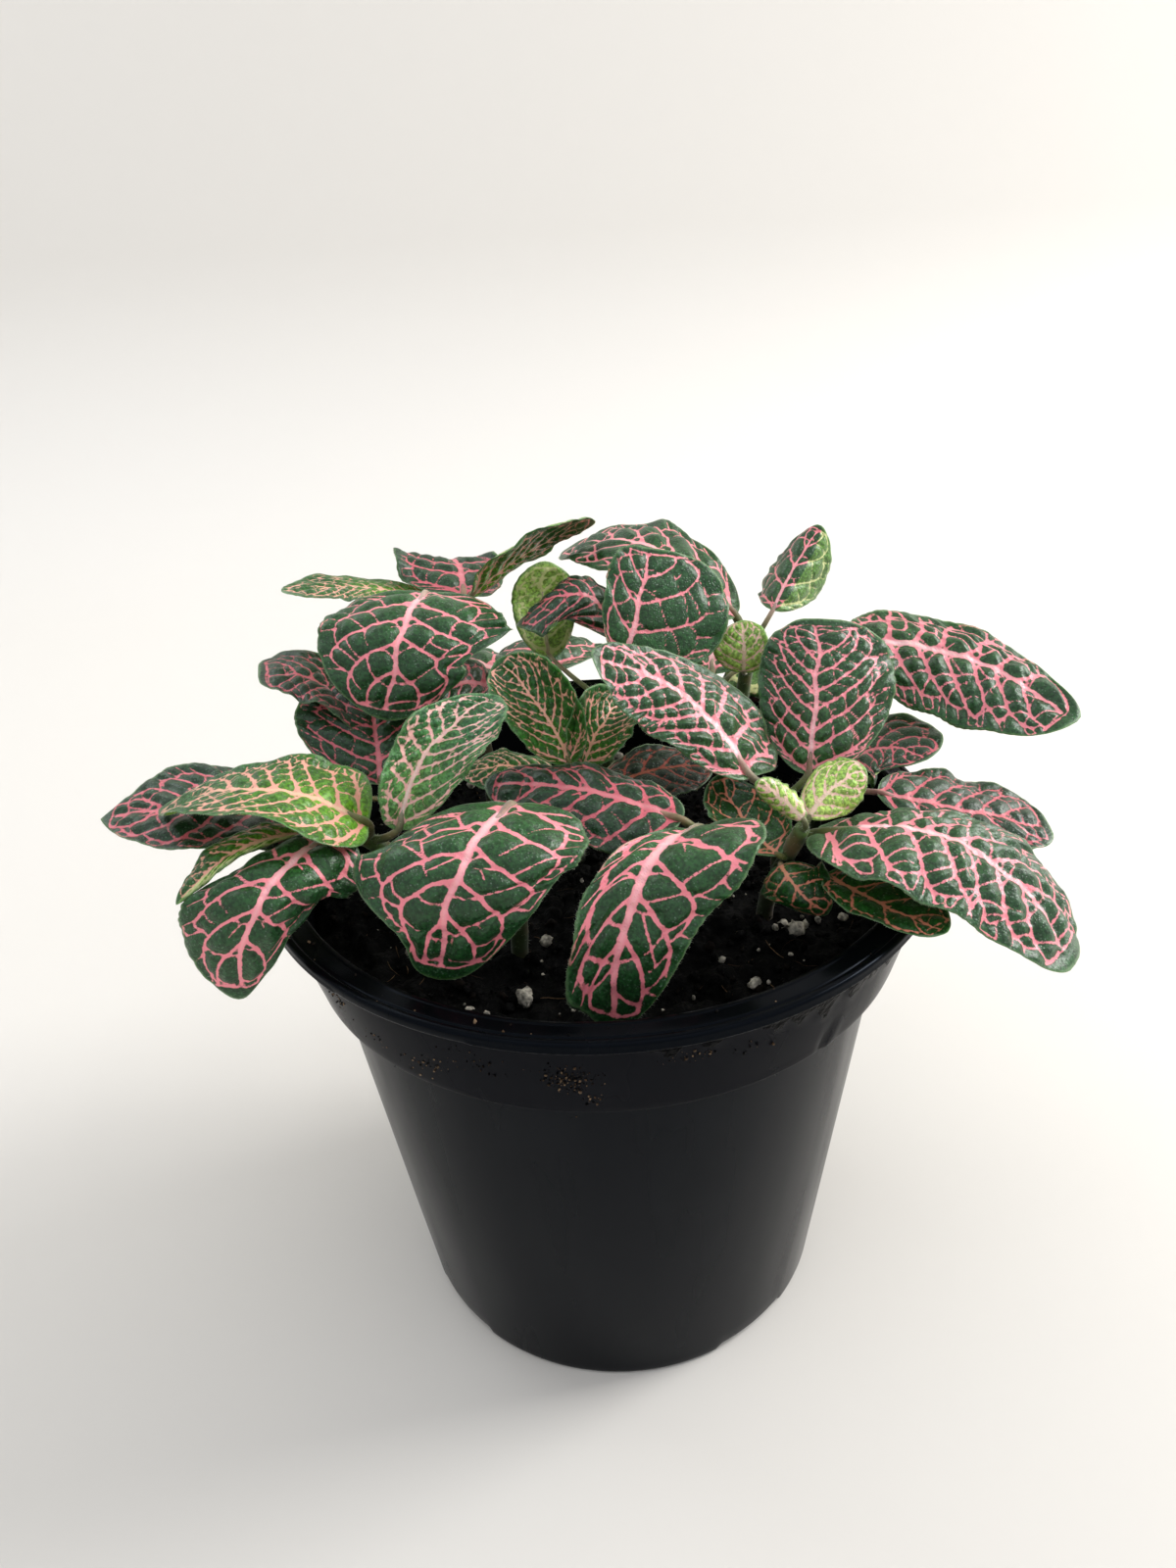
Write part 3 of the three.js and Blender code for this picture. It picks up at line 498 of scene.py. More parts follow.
def tube(points, radii, sides):
    """Closed tube: points, triangles, charts, and each point's place from 0 to 1 along it."""
    along = unit(np.gradient(points, axis=0))
    normal = np.array([1, 0.3, 0.2])
    normals = []
    for direction in along:
        normal = unit(normal - direction * normal.dot(direction))
        normals.append(normal)
    normals = np.array(normals)
    binormals = np.cross(along, normals)
    angles = TAU * np.arange(sides)[:, None] / sides
    circle = np.hstack([np.cos(angles), np.sin(angles)])
    outward = normals[:, None] * circle[:, :1] + binormals[:, None] * circle[:, 1:]
    rings = points[:, None] + radii[:, None, None] * outward
    reach = lengths(points)
    vertices, triangles, chart = ring_body(rings, points[[0, -1]], reach, TAU * radii.mean() / sides)
    disc = circle * radii.mean()
    cap = np.stack([np.zeros((sides, 2)), disc, np.roll(disc, -1, axis=0)], axis=1)
    place = np.concatenate([np.repeat(reach / reach[-1], sides), [0, 1]])
    return vertices, triangles, [chart, cap, cap], place


def lathe(profile, segments):
    """Closed body turned about the Z axis. The profile starts and ends on the axis.

    Returns its points, each point's angle from the front, its triangles and one chart."""
    rings = profile[1:-1]
    angles = TAU * np.arange(segments) / segments
    turned = np.stack([np.sin(angles), -np.cos(angles)], axis=1)
    heights = np.repeat(rings[:, None, 1:], segments, 1)
    around = np.concatenate([rings[:, None, :1] * turned[None], heights], axis=2)
    ends = [(0, 0, profile[0, 1]), (0, 0, profile[-1, 1])]
    reach = lengths(profile)
    width = TAU * rings[:, 0].max() / segments
    points, triangles, chart = ring_body(around, ends, reach[1:-1], width)
    x0, level = np.arange(segments) * width, np.zeros(segments)
    x1 = x0 + width
    low = np.stack([x0, level, x1, level + reach[1], x0, level + reach[1]], axis=1)
    high = np.stack([x0, level + reach[-1], x0, level + reach[-2], x1, level + reach[-2]], axis=1)
    chart = np.concatenate([chart, low.reshape(-1, 3, 2), high.reshape(-1, 3, 2)])
    degrees = np.concatenate([np.tile(np.degrees(angles), len(rings)), [0, 0]])
    return points, (degrees + 180) % 360 - 180, triangles, chart


# Leaf shape

class Blade:
    """The smooth upper face of a leaf: s runs from base to tip, t from -1 at the left margin to 1."""

    def __init__(self, leaf):
        self.leaf = leaf
        self.base, self.middle, self.tip = (np.array(leaf[k], float) for k in ("base", "middle", "tip"))
        lower = np.linalg.norm(self.middle - self.base)
        upper = np.linalg.norm(self.tip - self.middle)
        self.widest = lower / (lower + upper)
        self.across = np.array(leaf["right"], float) - np.array(leaf["left"], float)
        self.left = self.reach(leaf["left"])
        self.right = self.reach(leaf["right"])
        self.length = lengths(self.midrib(np.linspace(0, 1, 60)))[-1]

    def midrib(self, s):
        s = np.asarray(s, float)[..., None]
        w = self.widest
        return (self.base * (s - w) * (s - 1) / w + self.middle * s * (s - 1) / (w * (w - 1))
                + self.tip * s * (s - w) / (1 - w))

    def directions(self, s):
        """Unit vectors along the midrib, to the side and up."""
        along = unit(self.midrib(s + 0.01) - self.midrib(s - 0.01))
        side = unit(self.across - along * (along @ self.across)[..., None])
        return along, side, np.cross(side, along)

    def reach(self, point):
        """A margin point's offset from the middle of the midrib: along, to the side and up."""
        offset = np.array(point, float) - self.middle
        return tuple(offset @ way for way in self.directions(np.array(self.widest)))

    def half_width(self, s, t):
        """Share of the full width at s, on the side that t is on."""
        w = self.widest
        s = np.clip(s, 0, 1)
        u = np.where(s < w, (w - s) / w, (s - w) / (1 - w))
        power = np.where(s < w, self.leaf.get("heel", HEEL_SHARPNESS), self.leaf.get("point", TIP_SHARPNESS))
        share = np.clip(1 - u ** OUTLINE_FULLNESS, 0, 1) ** power
        for side, place, extra, spread in self.leaf.get("lobes", ()):
            share = share * (1 + extra * np.exp(-((s - place) / spread) ** 2) * (np.sign(t) == side))
        return share

    def side_length(self, t):
        """Width in millimetres from the midrib to the margin at the widest place."""
        left, right = (math.hypot(margin[1], margin[2]) for margin in (self.left, self.right))
        return np.where(t < 0, left, right)

    def flat(self, s, t):
        """Where a point of the blade lies when the blade is pressed flat."""
        return np.stack([t * self.half_width(s, t) * self.side_length(t), s * self.length], axis=-1)

    def surface(self, s, t):
        along, side, up = self.directions(s)
        width = np.abs(t) * self.half_width(s, t)
        ahead, aside, above = (np.where(t < 0, a, b)[..., None] for a, b in zip(self.left, self.right))
        wave = np.sin(TAU * (self.leaf["waves"] * s + np.where(t < 0, 0.3, 0)))
        width = width[..., None]
        ruffle = self.leaf["ruffle"] * wave[..., None] * width ** 3
        return (self.midrib(s) + side * aside * width + up * (above * width ** 2 + ruffle)
                + along * ahead * width ** 2)

    def normal(self, s, t):
        step = 0.02
        s = np.clip(s, step, 1 - step)
        t = np.clip(t, step - 1, 1 - step)
        along = self.surface(s + step, t) - self.surface(s - step, t)
        across = self.surface(s, t + step) - self.surface(s, t - step)
        return unit(np.cross(across, along))


# Veins

class Veins:
    """The net of veins of one leaf, as straight bits with a half width at each end, by rank."""

    def __init__(self):
        self.bits = {"midrib": [], "side": [], "cross": []}

    def add(self, rank, points, wide, narrow):
        points = np.asarray(points, float)
        widths = np.linspace(wide, narrow, len(points))
        for a, b, ra, rb in zip(points[:-1], points[1:], widths[:-1], widths[1:]):
            self.bits[rank].append((*a, *b, ra, rb))

    def distance(self, rank, places):
        """Distance from each place to the nearest vein of that rank, less than 0 inside it."""
        batch = 48
        nearest = np.full(len(places), FAR_FROM_VEINS)
        bits = np.array(self.bits[rank])
        for start in range(0, len(bits), batch):
            part = bits[start:start + batch]
            a, b = part[:, 0:2], part[:, 2:4]
            run = b - a
            gap = places[:, None] - a
            u = np.clip((gap * run).sum(axis=2) / np.maximum((run * run).sum(axis=1), 1e-9), 0, 1)
            rest = gap - u[..., None] * run
            away = np.sqrt((rest * rest).sum(axis=2)) - (part[:, 4] + (part[:, 5] - part[:, 4]) * u)
            nearest = np.minimum(nearest, away.min(axis=1))
        return nearest


def side_vein(rng, start, rise, reach):
    """Arc of a side vein, as s and t of its points: it leaves the midrib and bends towards the tip."""
    q = np.linspace(0, 1, 14)
    t = reach * (1 - (1 - q) ** 1.2)
    s = start + rise * (0.8 * q + 0.2 * q ** 3) + 0.005 * wobble(rng, q, 3)
    return np.stack([np.minimum(s, 0.94), t], axis=1)


def cross_veins(rng, veins, vein, ahead, cell, width):
    """Rungs from one side vein to the next one, with kinks and a few links and spurs between them."""
    shortest, longest = 1.1, 12
    reach = lengths(vein)
    count = max(2, round(reach[-1] / cell))
    kinks = []
    for j in range(count):
        start = point_at(vein, reach, reach[-1] * (j + 0.75 + rng.uniform(-0.22, 0.22)) / count)
        gaps = np.linalg.norm(ahead - start, axis=1) + 30 * (ahead[:, 1] < start[1] - 0.3)
        near = int(np.clip(gaps.argmin() + rng.integers(-1, 2), 0, len(ahead) - 1))
        end = ahead[near]
        run = end - start
        span = np.linalg.norm(run)
        if span < shortest or span > longest:
            continue
        sideways = np.array([-run[1], run[0]]) / span
        kink = start + run * rng.uniform(0.35, 0.65) + sideways * span * rng.uniform(-0.2, 0.2)
        if rng.random() < 0.2:
            veins.add("cross", curve_between(start, kink, (kink + end) / 2, 4), width, width * 0.4)
        else:
            veins.add("cross", curve_between(start, kink, end, 5), width, width)
        kinks.append((start + 2 * kink + end) / 4)
    for a, b in zip(kinks[:-1], kinks[1:]):
        if np.linalg.norm(b - a) < 2.6:
            continue
        bend = (a + b) / 2 + rng.uniform(-0.5, 0.5, 2)
        if rng.random() < 0.1:
            veins.add("cross", curve_between(a, bend, b, 4), width * 0.8, width * 0.8)
        elif rng.random() < 0.3:
            veins.add("cross", [a, a + (bend - a) * rng.uniform(0.4, 0.9)], width * 0.8, width * 0.35)


def outer_fringe(rng, veins, blade, path, spacing, width):
    """Short veins from the outermost arc towards the margin. Some of them join in a last row of arcs.

    The path is given by s and t, and so are the spurs, so they keep within the margin."""
    reach = lengths(blade.flat(*path.T))
    side = np.sign(path[-1, 1])
    place = spacing * rng.uniform(0.3, 0.7)
    last = None
    while place < reach[-1]:
        s, t = point_at(path, reach, place)
        end = side * rng.uniform(0.9, 0.96)
        ahead = min(s + rng.uniform(0.01, 0.05), 0.95)
        spur = blade.flat(np.array([s, ahead]), np.array([t, end]))
        if np.linalg.norm(spur[1] - spur[0]) > 0.7 and abs(end) > abs(t) + 0.03:
            joins = last is not None and rng.random() < 0.5
            veins.add("cross", spur, width, width * (0.8 if joins else 0.5))
            if joins:
                bulge = (last + spur[1]) / 2 + np.array([side * rng.uniform(0.2, 0.9), 0])
                veins.add("cross", curve_between(last, bulge, spur[1], 4), width * 0.75, width * 0.75)
            last = spur[1]
        place += spacing * rng.uniform(0.75, 1.25)


def vein_net(rng, blade, tone):
    """All veins of a leaf: midrib, side veins that loop into the next ones, rungs and an outer fringe."""
    veins = Veins()
    size = min(1.1, max(0.55, blade.length / 40)) * tone["width"]
    s = np.linspace(0, 0.93, 24)
    spine = np.stack([0.35 * wobble(rng, s, 3) * s, s * blade.length], axis=1)
    veins.add("midrib", spine, 0.92 * size, 0.34 * size)
    pairs = tone["pairs"] - (blade.length < 20)
    spacing = 0.7 / (pairs - 1)
    cell = tone["cell"] * size ** 0.5
    for side in (-1, 1):
        arcs = []
        flat = []
        for k in range(pairs):
            start = 0.015 + spacing * k + (0.02 if side > 0 else 0) + rng.uniform(-0.012, 0.012)
            reach = side * (0.8 + rng.uniform(-0.04, 0.04))
            finer = size * (1 - 0.45 * start)
            rise = float(np.clip(0.85 * blade.side_length(side) / blade.length, 0.14, 0.36))
            rise *= min(1, 0.45 + 0.25 * k) * rng.uniform(0.92, 1.08)
            arc = side_vein(rng, start, rise, reach)
            arcs.append(arc)
            flat.append(blade.flat(*arc.T))
            flat[k][0, 0] = np.interp(flat[k][0, 1], spine[:, 1], spine[:, 0])
            veins.add("side", flat[k], 0.5 * finer, 0.27 * finer)
        for k, arc in enumerate(arcs):
            last = k == pairs - 1
            finer = size * (1 - 0.45 * arc[0, 0])
            join = np.array([0.95, 0]) if last else arcs[k + 1][rng.integers(9, 12)]
            turn = np.array([(arc[-1, 0] + 2 * join[0]) / 3, arc[-1, 1] * 1.04])
            loop = curve_between(arc[-1], turn, join)
            veins.add("side", blade.flat(*loop.T), 0.26 * finer, 0.2 * finer)
            onward = spine[spine[:, 1] > flat[k][0, 1] + 1.5] if last else flat[k + 1]
            if not last:
                root = spine[(spine[:, 1] > flat[k][0, 1] + 1.2) & (spine[:, 1] < onward[0, 1])]
                onward = np.vstack([root, onward])
            cross_veins(rng, veins, flat[k], onward, cell, 0.25 * finer)
            outer = np.vstack([arc[2 if k == 0 else 11:], loop[1:]])
            outer_fringe(rng, veins, blade, outer, 0.8 * cell, 0.21 * finer)
    return veins


# Leaves as meshes

def even(number):
    """The next even whole number up."""
    return 2 * math.ceil(number / 2)


def sheet_triangles(rows, columns, top, low, margin):
    """Triangles of both faces. The lower face has half as many rows and columns, and shares the margin.

    top, low and margin give a point's number from its row and column."""
    upper = []
    for i in range(rows):
        for j in range(columns):
            a, b, c, d = top(i, j), top(i, j + 1), top(i + 1, j), top(i + 1, j + 1)
            upper += [(a, b, c), (b, d, c)] if j < columns // 2 else [(a, b, d), (a, d, c)]
    lower = []
    half_rows, half_columns = rows // 2, columns // 2
    for i in range(half_rows):
        for j in range(1, half_columns - 1):
            a, b, c, d = low(i, j), low(i, j + 1), low(i + 1, j), low(i + 1, j + 1)
            lower += [(a, c, b), (b, c, d)]
        for side, j in ((0, 1), (1, half_columns - 1)):
            inner, ahead = low(i, j), low(i + 1, j)
            edge = [margin(2 * i + n, side) for n in range(3)]
            fan = [(edge[0], edge[1], inner), (edge[1], ahead, inner), (edge[1], edge[2], ahead)]
            lower += fan if side == 0 else [(a, c, b) for a, b, c in fan]
    return np.array(upper), np.array(lower)


def leaf_grid(rows, columns):
    """Points and triangles of a leaf's two faces, shared by all leaves of the same size."""
    span = columns + 1
    i, j = grid_numbers(np.arange(rows + 1), np.arange(span))
    top_count = len(i)
    half = columns // 2
    low_i, low_j = grid_numbers(np.arange(2, rows, 2), np.arange(2, columns, 2))
    low_number = -np.ones((rows // 2 + 1, half + 1), int)
    low_number[low_i // 2, low_j // 2] = top_count + np.arange(len(low_i))

    def top(row, column):
        if row in (0, rows):
            column = half
        return row * span + column

    def low(row, column):
        if row in (0, rows // 2):
            return top(2 * row, half)
        return low_number[row, column]

    def margin(row, side):
        return top(row, columns * side)

    upper, lower = sheet_triangles(rows, columns, top, low, margin)
    triangles = np.vstack([upper, lower])
    kept = (triangles != np.roll(triangles, 1, axis=1)).all(axis=1)
    upper_count = int(kept[:len(upper)].sum())
    triangles = triangles[kept]
    used, numbers = np.unique(triangles, return_inverse=True)
    rows_of = np.concatenate([i, low_i])[used]
    columns_of = np.concatenate([j, low_j])[used]
    return rows_of, columns_of, used >= top_count, numbers.reshape(-1, 3), upper_count


GRIDS = {}


def leaf_relief(rng, blade, veins, flat, edge, tone):
    """Height of the quilted blade over the smooth one, sunk along the veins and raised between them.

    Returns it with each point's distance to the nearest vein and to the midrib."""
    size = min(1, blade.length / LONG_BLADE)
    away = {rank: veins.distance(rank, flat) for rank in VALLEYS}
    relief = np.zeros(len(flat))
    for rank, (depth, reach) in VALLEYS.items():
        valley = np.exp(-(np.maximum(away[rank], 0) / (reach * size)) ** 2)
        if rank == "cross":
            relief -= depth * valley
        else:
            relief = np.minimum(relief, -depth * valley)
    phase = rng.uniform(0, TAU, 2)
    lumps = np.sin(flat[:, 0] * 0.9 + phase[0]) * np.sin(flat[:, 1] * 0.7 + phase[1])
    relief = (relief + 0.35 + 0.1 * lumps) * tone["quilt"] * size
    relief *= smoothstep(-1.6, 1.4 * size, edge)
    nearest = smooth_least(smooth_least(away["midrib"], away["side"], 0.7 * size), away["cross"], 0.5 * size)
    return relief, nearest, away["midrib"]


def leaf_colours(leaf, tone, s, t, midrib_away, low):
    """Colours of the blade and of the veins at each point."""
    near_base = np.clip(1 - 1.5 * s, 0, 1) * (1 - 0.55 * np.abs(t))
    near_midrib = np.exp(-np.maximum(midrib_away, 0) / 3)
    heart = np.clip(0.75 * near_base + 0.3 * near_midrib * (1 - s), 0, 1)
    blade_colour = mix(linear(tone["blade"]), linear(tone["heart"]), heart)
    # Paler core along the midrib towards the base: partly the midrib's own colour, partly a painted
    # highlight
    core_and_highlight = smoothstep(0.3, -0.5, midrib_away) * np.clip(1.15 - s, 0, 1)
    vein_colour = mix(linear(tone["vein"]), linear(tone["core_and_highlight"]), core_and_highlight)
    pale = low | (leaf.get("curled", 0) * t > CURL_START)
    blade_colour[pale] = linear(UNDERSIDE) * 0.6 + 0.4 * linear(tone["heart"])
    vein_colour[pale] = linear(UNDERSIDE_VEIN)
    return blade_colour, vein_colour


def leaf_margin(rng, blade, width, s, t, edge):
    """How far each point moves to the side for the teeth, and up for the ripple of the margin."""
    arc = blade.flat(s, np.sign(t) + (t == 0))
    around = np.hypot(arc[:, 0], arc[:, 1])
    notches = np.abs(np.sin(math.pi * around / TOOTH_LENGTH + 9 * np.sign(t)))
    tooth = TOOTH_DEPTH * min(1, width / WIDE_BLADE) * notches
    tooth *= smoothstep(1.2, 0, edge) * np.sin(math.pi * np.clip(s, 0.02, 0.98))
    ripple = 0.14 * wobble(rng, s * 0.5 + (t > 0) * 0.5, 14, 8) * np.abs(t) ** 5
    return np.sign(t) * tooth, ripple * blade.half_width(s, t)


def add_blade(patchwork, rng, leaf, spacing):
    blade = Blade(leaf)
    tone = TONES[leaf["tone"]]
    width = float(blade.side_length(-1) + blade.side_length(1))
    rows = even(max(SMALLEST_ROWS, blade.length / spacing))
    columns = even(max(SMALLEST_ROWS * 0.6, width / spacing * 0.9))
    if (rows, columns) not in GRIDS:
        GRIDS[(rows, columns)] = leaf_grid(rows, columns)
    row, column, low, triangles, upper_count = GRIDS[(rows, columns)]
    s = (1 - np.cos(math.pi * np.clip(row / rows, 0, 1))) / 2
    s = 0.5 * s + 0.5 * row / rows
    t = 2 * column / columns - 1
    veins = vein_net(rng, blade, tone)
    flat = blade.flat(s, t)
    outline = np.linspace(0, 1, OUTLINE_POINTS)
    rim = Veins()
    for side in (-1, 1):
        rim.add("side", blade.flat(outline, np.full(OUTLINE_POINTS, float(side))), 0, 0)
    edge = rim.distance("side", flat)
    relief, nearest, midrib_away = leaf_relief(rng, blade, veins, flat, edge, tone)
    aside, ripple = leaf_margin(rng, blade, width, s, t, edge)
    normal = blade.normal(s, t)
    _, side, _ = blade.directions(s)
    thin = np.clip(1 - np.abs(t) ** 8, 0, 1) * np.clip(np.sin(math.pi * s) * 6, 0, 1)
    half = BLADE_THICKNESS / 2 * thin * np.where(low, -1, 1)
    points = blade.surface(s, t) + side * aside[:, None] + normal * (relief + ripple + half)[:, None]
    blade_colour, vein_colour = leaf_colours(leaf, tone, s, t, midrib_away, low)
    corners = flat[triangles]
    charts = [corners[:upper_count], corners[upper_count:] * 0.5]
    patchwork.add(points, triangles, charts, vein=nearest - UNDERSIDE_VEIN_SPREAD * low, edge=edge,
                  blade=blade_colour, tint=vein_colour)
    margin = ~low & ((column == 0) | (column == columns)) & (rng.random(len(row)) < HAIR_SHARE)
    outward = side * np.sign(t)[:, None] + 0.25 * normal
    add_hairs(patchwork, rng, points[margin], outward[margin], **MARGIN_HAIR)


def add_plain(patchwork, points, triangles, charts, colour):
    """Adds a part without veins, in one colour or a colour for each point."""
    patchwork.add(points, triangles, charts, slot=1, vein=NO_VEIN, edge=NO_VEIN, blade=colour, tint=colour)


def add_hairs(patchwork, rng, roots, outward, length, radius):
    """Hairs as thin closed spikes of four triangles, sunk a little into what they grow from."""
    sunk = 0.1
    count = len(roots)
    along = unit(unit(outward) + 0.45 * rng.normal(size=(count, 3)))
    across = unit(np.cross(along, rng.normal(size=(count, 3))))
    third = np.cross(along, across)
    size = length * rng.uniform(0.6, 1.3, (count, 1))
    foot = roots - along * sunk
    turns = (0, TAU / 3, 2 * TAU / 3)
    corners = [foot + radius * (across * math.cos(turn) + third * math.sin(turn)) for turn in turns]
    points = np.stack([*corners, foot + along * (size + sunk)], axis=1).reshape(-1, 3)
    spike = np.array([(0, 2, 1), (0, 1, 3), (1, 2, 3), (2, 0, 3)])
    triangles = (spike[None] + 4 * np.arange(count)[:, None, None]).reshape(-1, 3)
    chart = np.tile(np.array([[0, 0], [0.2, 0], [0, 0.4]]), (len(triangles), 1, 1))
    add_plain(patchwork, points, triangles, [chart], linear(HAIR_COLOUR))


def add_stalk(patchwork, rng, leaf, stem):
    """Stalk from the stem to the leaf's base, running on under the midrib as a thin ridge."""
    blade = Blade(leaf)
    foot = point_at(stem, np.linspace(0, 1, len(stem)), leaf["stalk"])
    size = min(1, max(0.6, blade.length / LONG_BLADE))
    under = np.array([0.01, 0.08, 0.2, 0.38, 0.56, 0.72])
    depth = np.array([0.35, 0.8, 1.25, 1.2, 1, 0.8]) * size
    ridge = blade.surface(under, under * 0) - blade.normal(under, under * 0) * depth[:, None]
    inward = unit(ridge[1] - ridge[0])
    bend = foot + (ridge[0] - foot) * 0.6 - inward * 0.6
    path = smooth_path(np.vstack([foot, bend, ridge]), STEM_POINTS)
    radii = np.interp(np.linspace(0, 1, STEM_POINTS), [0, 0.35, 0.5, 1], [0.9, 0.7, 0.6, 0.22]) * size
    vertices, triangles, charts, place = tube(path, radii, STALK_SIDES)
    far_colour = 0.42 * linear(TONES[leaf["tone"]]["core_and_highlight"]) + 0.14 * linear(UNDERSIDE_VEIN)
    colour = mix(linear(STALK_COLOUR), far_colour, smoothstep(0.1, 0.5, place))
    add_plain(patchwork, vertices, triangles, charts, colour)
    add_tube_hairs(patchwork, rng, vertices, path[:BARE_POINTS], STALK_SIDES, STALK_HAIRS, STALK_HAIR)


def add_stem(patchwork, rng, stem):
    rise = np.linspace(0, 1, len(stem))
    radii = 1.45 - 0.3 * rise + 0.12 * np.sin(5 * math.pi * rise) ** 8
    vertices, triangles, charts, place = tube(stem, radii, STEM_SIDES)
    # Painted shade: the stem's colour falls to 0.3 of itself towards the soil, where the leaves shade it
    colour = mix(linear(STEM_COLOUR) * 0.3, linear(STEM_COLOUR), smoothstep(0.3, 1, place))
    add_plain(patchwork, vertices, triangles, charts, colour)
    add_tube_hairs(patchwork, rng, vertices, stem, STEM_SIDES, STEM_HAIRS, STEM_HAIR)


def add_tube_hairs(patchwork, rng, vertices, path, sides, count, hair):
    """Hairs on the part of a tube that has the path for its middle line."""
    chosen = rng.choice(len(path) * sides, count, replace=False)
    add_hairs(patchwork, rng, vertices[chosen], vertices[chosen] - path[chosen // sides], **hair)


def shoot_piece(name, parts, seed, materials):
    """One shoot as a piece: its stem, then each leaf with its stalk."""
    rng = np.random.default_rng(seed)
    patchwork = Patchwork(vein=1, edge=1, blade=3, tint=3)
    stem = smooth_path(parts[0], STEM_POINTS)
    spacing = GRID_SPACING / (REAR_DETAIL if "rear" in name else 1)
    add_stem(patchwork, rng, stem)
    for leaf in parts[1:]:
        add_stalk(patchwork, rng, leaf, stem)
        add_blade(patchwork, rng, leaf, spacing)
    return patchwork.piece(name + "_leaves", materials)


# Pot

def rounded(corners):
    """Profile through corners of radius, height and cut, each cut corner turned into a small arc."""
    places = np.array([corner[:2] for corner in corners], float)
    points = []
    for i, (here, corner) in enumerate(zip(places, corners)):
        if not corner[2]:
            points.append(here)
            continue
        before, after = (here + unit(places[j] - here) * corner[2] for j in (i - 1, i + 1))
        points.extend(curve_between(before, here, after, 5))
    return np.array(points)


def refined(profile, spacing):
    """The same profile with points added where two of them lie further apart than the spacing."""
    points = [profile[0]]
    for a, b in zip(profile[:-1], profile[1:]):
        steps = max(1, math.ceil(np.linalg.norm(b - a) / spacing))
        points.extend(a + (b - a) * i / steps for i in range(1, steps + 1))
    return np.array(points)


def wall_radius(z):
    """Outer radius of the pot's body, below the band."""
    return BASE_RADIUS + (BODY_TOP_RADIUS - BASE_RADIUS) * z / BAND_BASE


def pot_profile():
    hole_start = DRAIN_HOLE["place"] - DRAIN_HOLE["radius"] - 1
    hole_end = DRAIN_HOLE["place"] + DRAIN_HOLE["radius"] + 1
    arch_start = BASE_RADIUS - ARCH["depth"]
    middle = np.array([(0, 0), (hole_start, 0)], float)
    underside = np.array([(hole_start + 0.5, 0), (hole_end, 0)], float)
    outside = rounded([
        (arch_start, 0, 0), (arch_start + 0.2, 0, 0),
        (BASE_RADIUS, 0, BASE_EDGE_ROUNDING), (BODY_TOP_RADIUS, BAND_BASE, 0.3),
        (BAND_BOTTOM_RADIUS, BAND_BASE + 0.6, 0.45), (BAND_TOP_RADIUS, UNDER_LIP - 0.2, 0.4),
        (LIP_RADIUS, UNDER_LIP + 0.1, LIP_ROUNDING), (LIP_RADIUS, POT_HEIGHT - 0.1, 0.6),
        (LIP_RADIUS - 1, POT_HEIGHT, 0.2), (LIP_RADIUS - 1.25, POT_HEIGHT - 0.22, 0.12),
        (LIP_RADIUS - 1.6, POT_HEIGHT - 0.04, 0.12), (LIP_INNER_RADIUS + 1.1, POT_HEIGHT - 0.1, 0.1),
        (LIP_INNER_RADIUS + 0.8, POT_HEIGHT, 0.15), (LIP_INNER_RADIUS, POT_HEIGHT - 0.15, 0.4),
        (LIP_INNER_RADIUS, POT_HEIGHT - 1, 0)])
    inside = rounded([
        (LIP_INNER_RADIUS, POT_HEIGHT - 1.5, 0), (BAND_BOTTOM_RADIUS - WALL, BAND_BASE + 1 + WALL, 0.4),
        (BODY_TOP_RADIUS - WALL, BAND_BASE + WALL, 0.4), (wall_radius(FLOOR) - WALL, FLOOR + WALL, 0),
        (wall_radius(FLOOR) - 2 * WALL, FLOOR, 0), (0, FLOOR, 0)])
    return np.vstack([refined(middle, 5), refined(underside, POT_SPACING / 2),
                      refined(outside, POT_SPACING), refined(inside, 4 * POT_SPACING)])


def film_depth(angle, rough):
    """How far the film of wet soil hangs down below the lip at an angle."""
    depth = np.zeros_like(angle)
    for start, end, deepest in FILMS:
        inside = smoothstep(start, start + 4, angle) * smoothstep(end, end - 6, angle)
        depth = np.maximum(depth, deepest * inside * (0.6 + 0.35 * rough))
    return depth


def base_relief(points, angle):
    """Heights of the pot's points with the arches under its edge, and a drain hole inside each one."""
    radius = np.hypot(points[:, 0], points[:, 1])
    height = points[:, 2]
    for i in range(ARCH["count"]):
        centre = ARCH["first"] + 360 * i / ARCH["count"]
        away = np.abs((angle - centre + 180) % 360 - 180) * math.radians(1) * BASE_RADIUS
        rise = ARCH["height"] * smoothstep(ARCH["width"] / 2 + 0.5, ARCH["width"] / 2 - 0.6, away)
        outer = (height < FLOOR - 0.5) | (radius > wall_radius(height) - WALL / 2)
        edge = outer & (radius > BASE_RADIUS - ARCH["depth"] + 0.1) & (height < 4)
        height = np.where(edge, np.maximum(height, rise + height * (1 - rise / 4)), height)
        turn = math.radians(centre)
        x, y = DRAIN_HOLE["place"] * math.sin(turn), -DRAIN_HOLE["place"] * math.cos(turn)
        away = np.hypot(points[:, 0] - x, points[:, 1] - y)
        sunk = smoothstep(DRAIN_HOLE["radius"] + 0.2, DRAIN_HOLE["radius"] - 0.2, away)
        height = np.where(height < 0.1, height + DRAIN_HOLE["depth"] * sunk, height)
    return height


def crease(angle, radius, height):
    """The crease in the band, as the way in or out of each point."""
    across = (angle - CREASE["angle"]) * math.radians(1) * radius - 0.1 * (height - CREASE["low"])
    tall = smoothstep(CREASE["low"] - 1, CREASE["low"] + 1, height)
    tall = tall * smoothstep(CREASE["high"], CREASE["high"] - 5, height)
    side = (across - CREASE_SIDE["away"]) / CREASE_SIDE["width"]
    return tall * (CREASE_SIDE["height"] * np.exp(-side ** 2)
                   - CREASE["depth"] * np.exp(-(across / CREASE["width"]) ** 2))


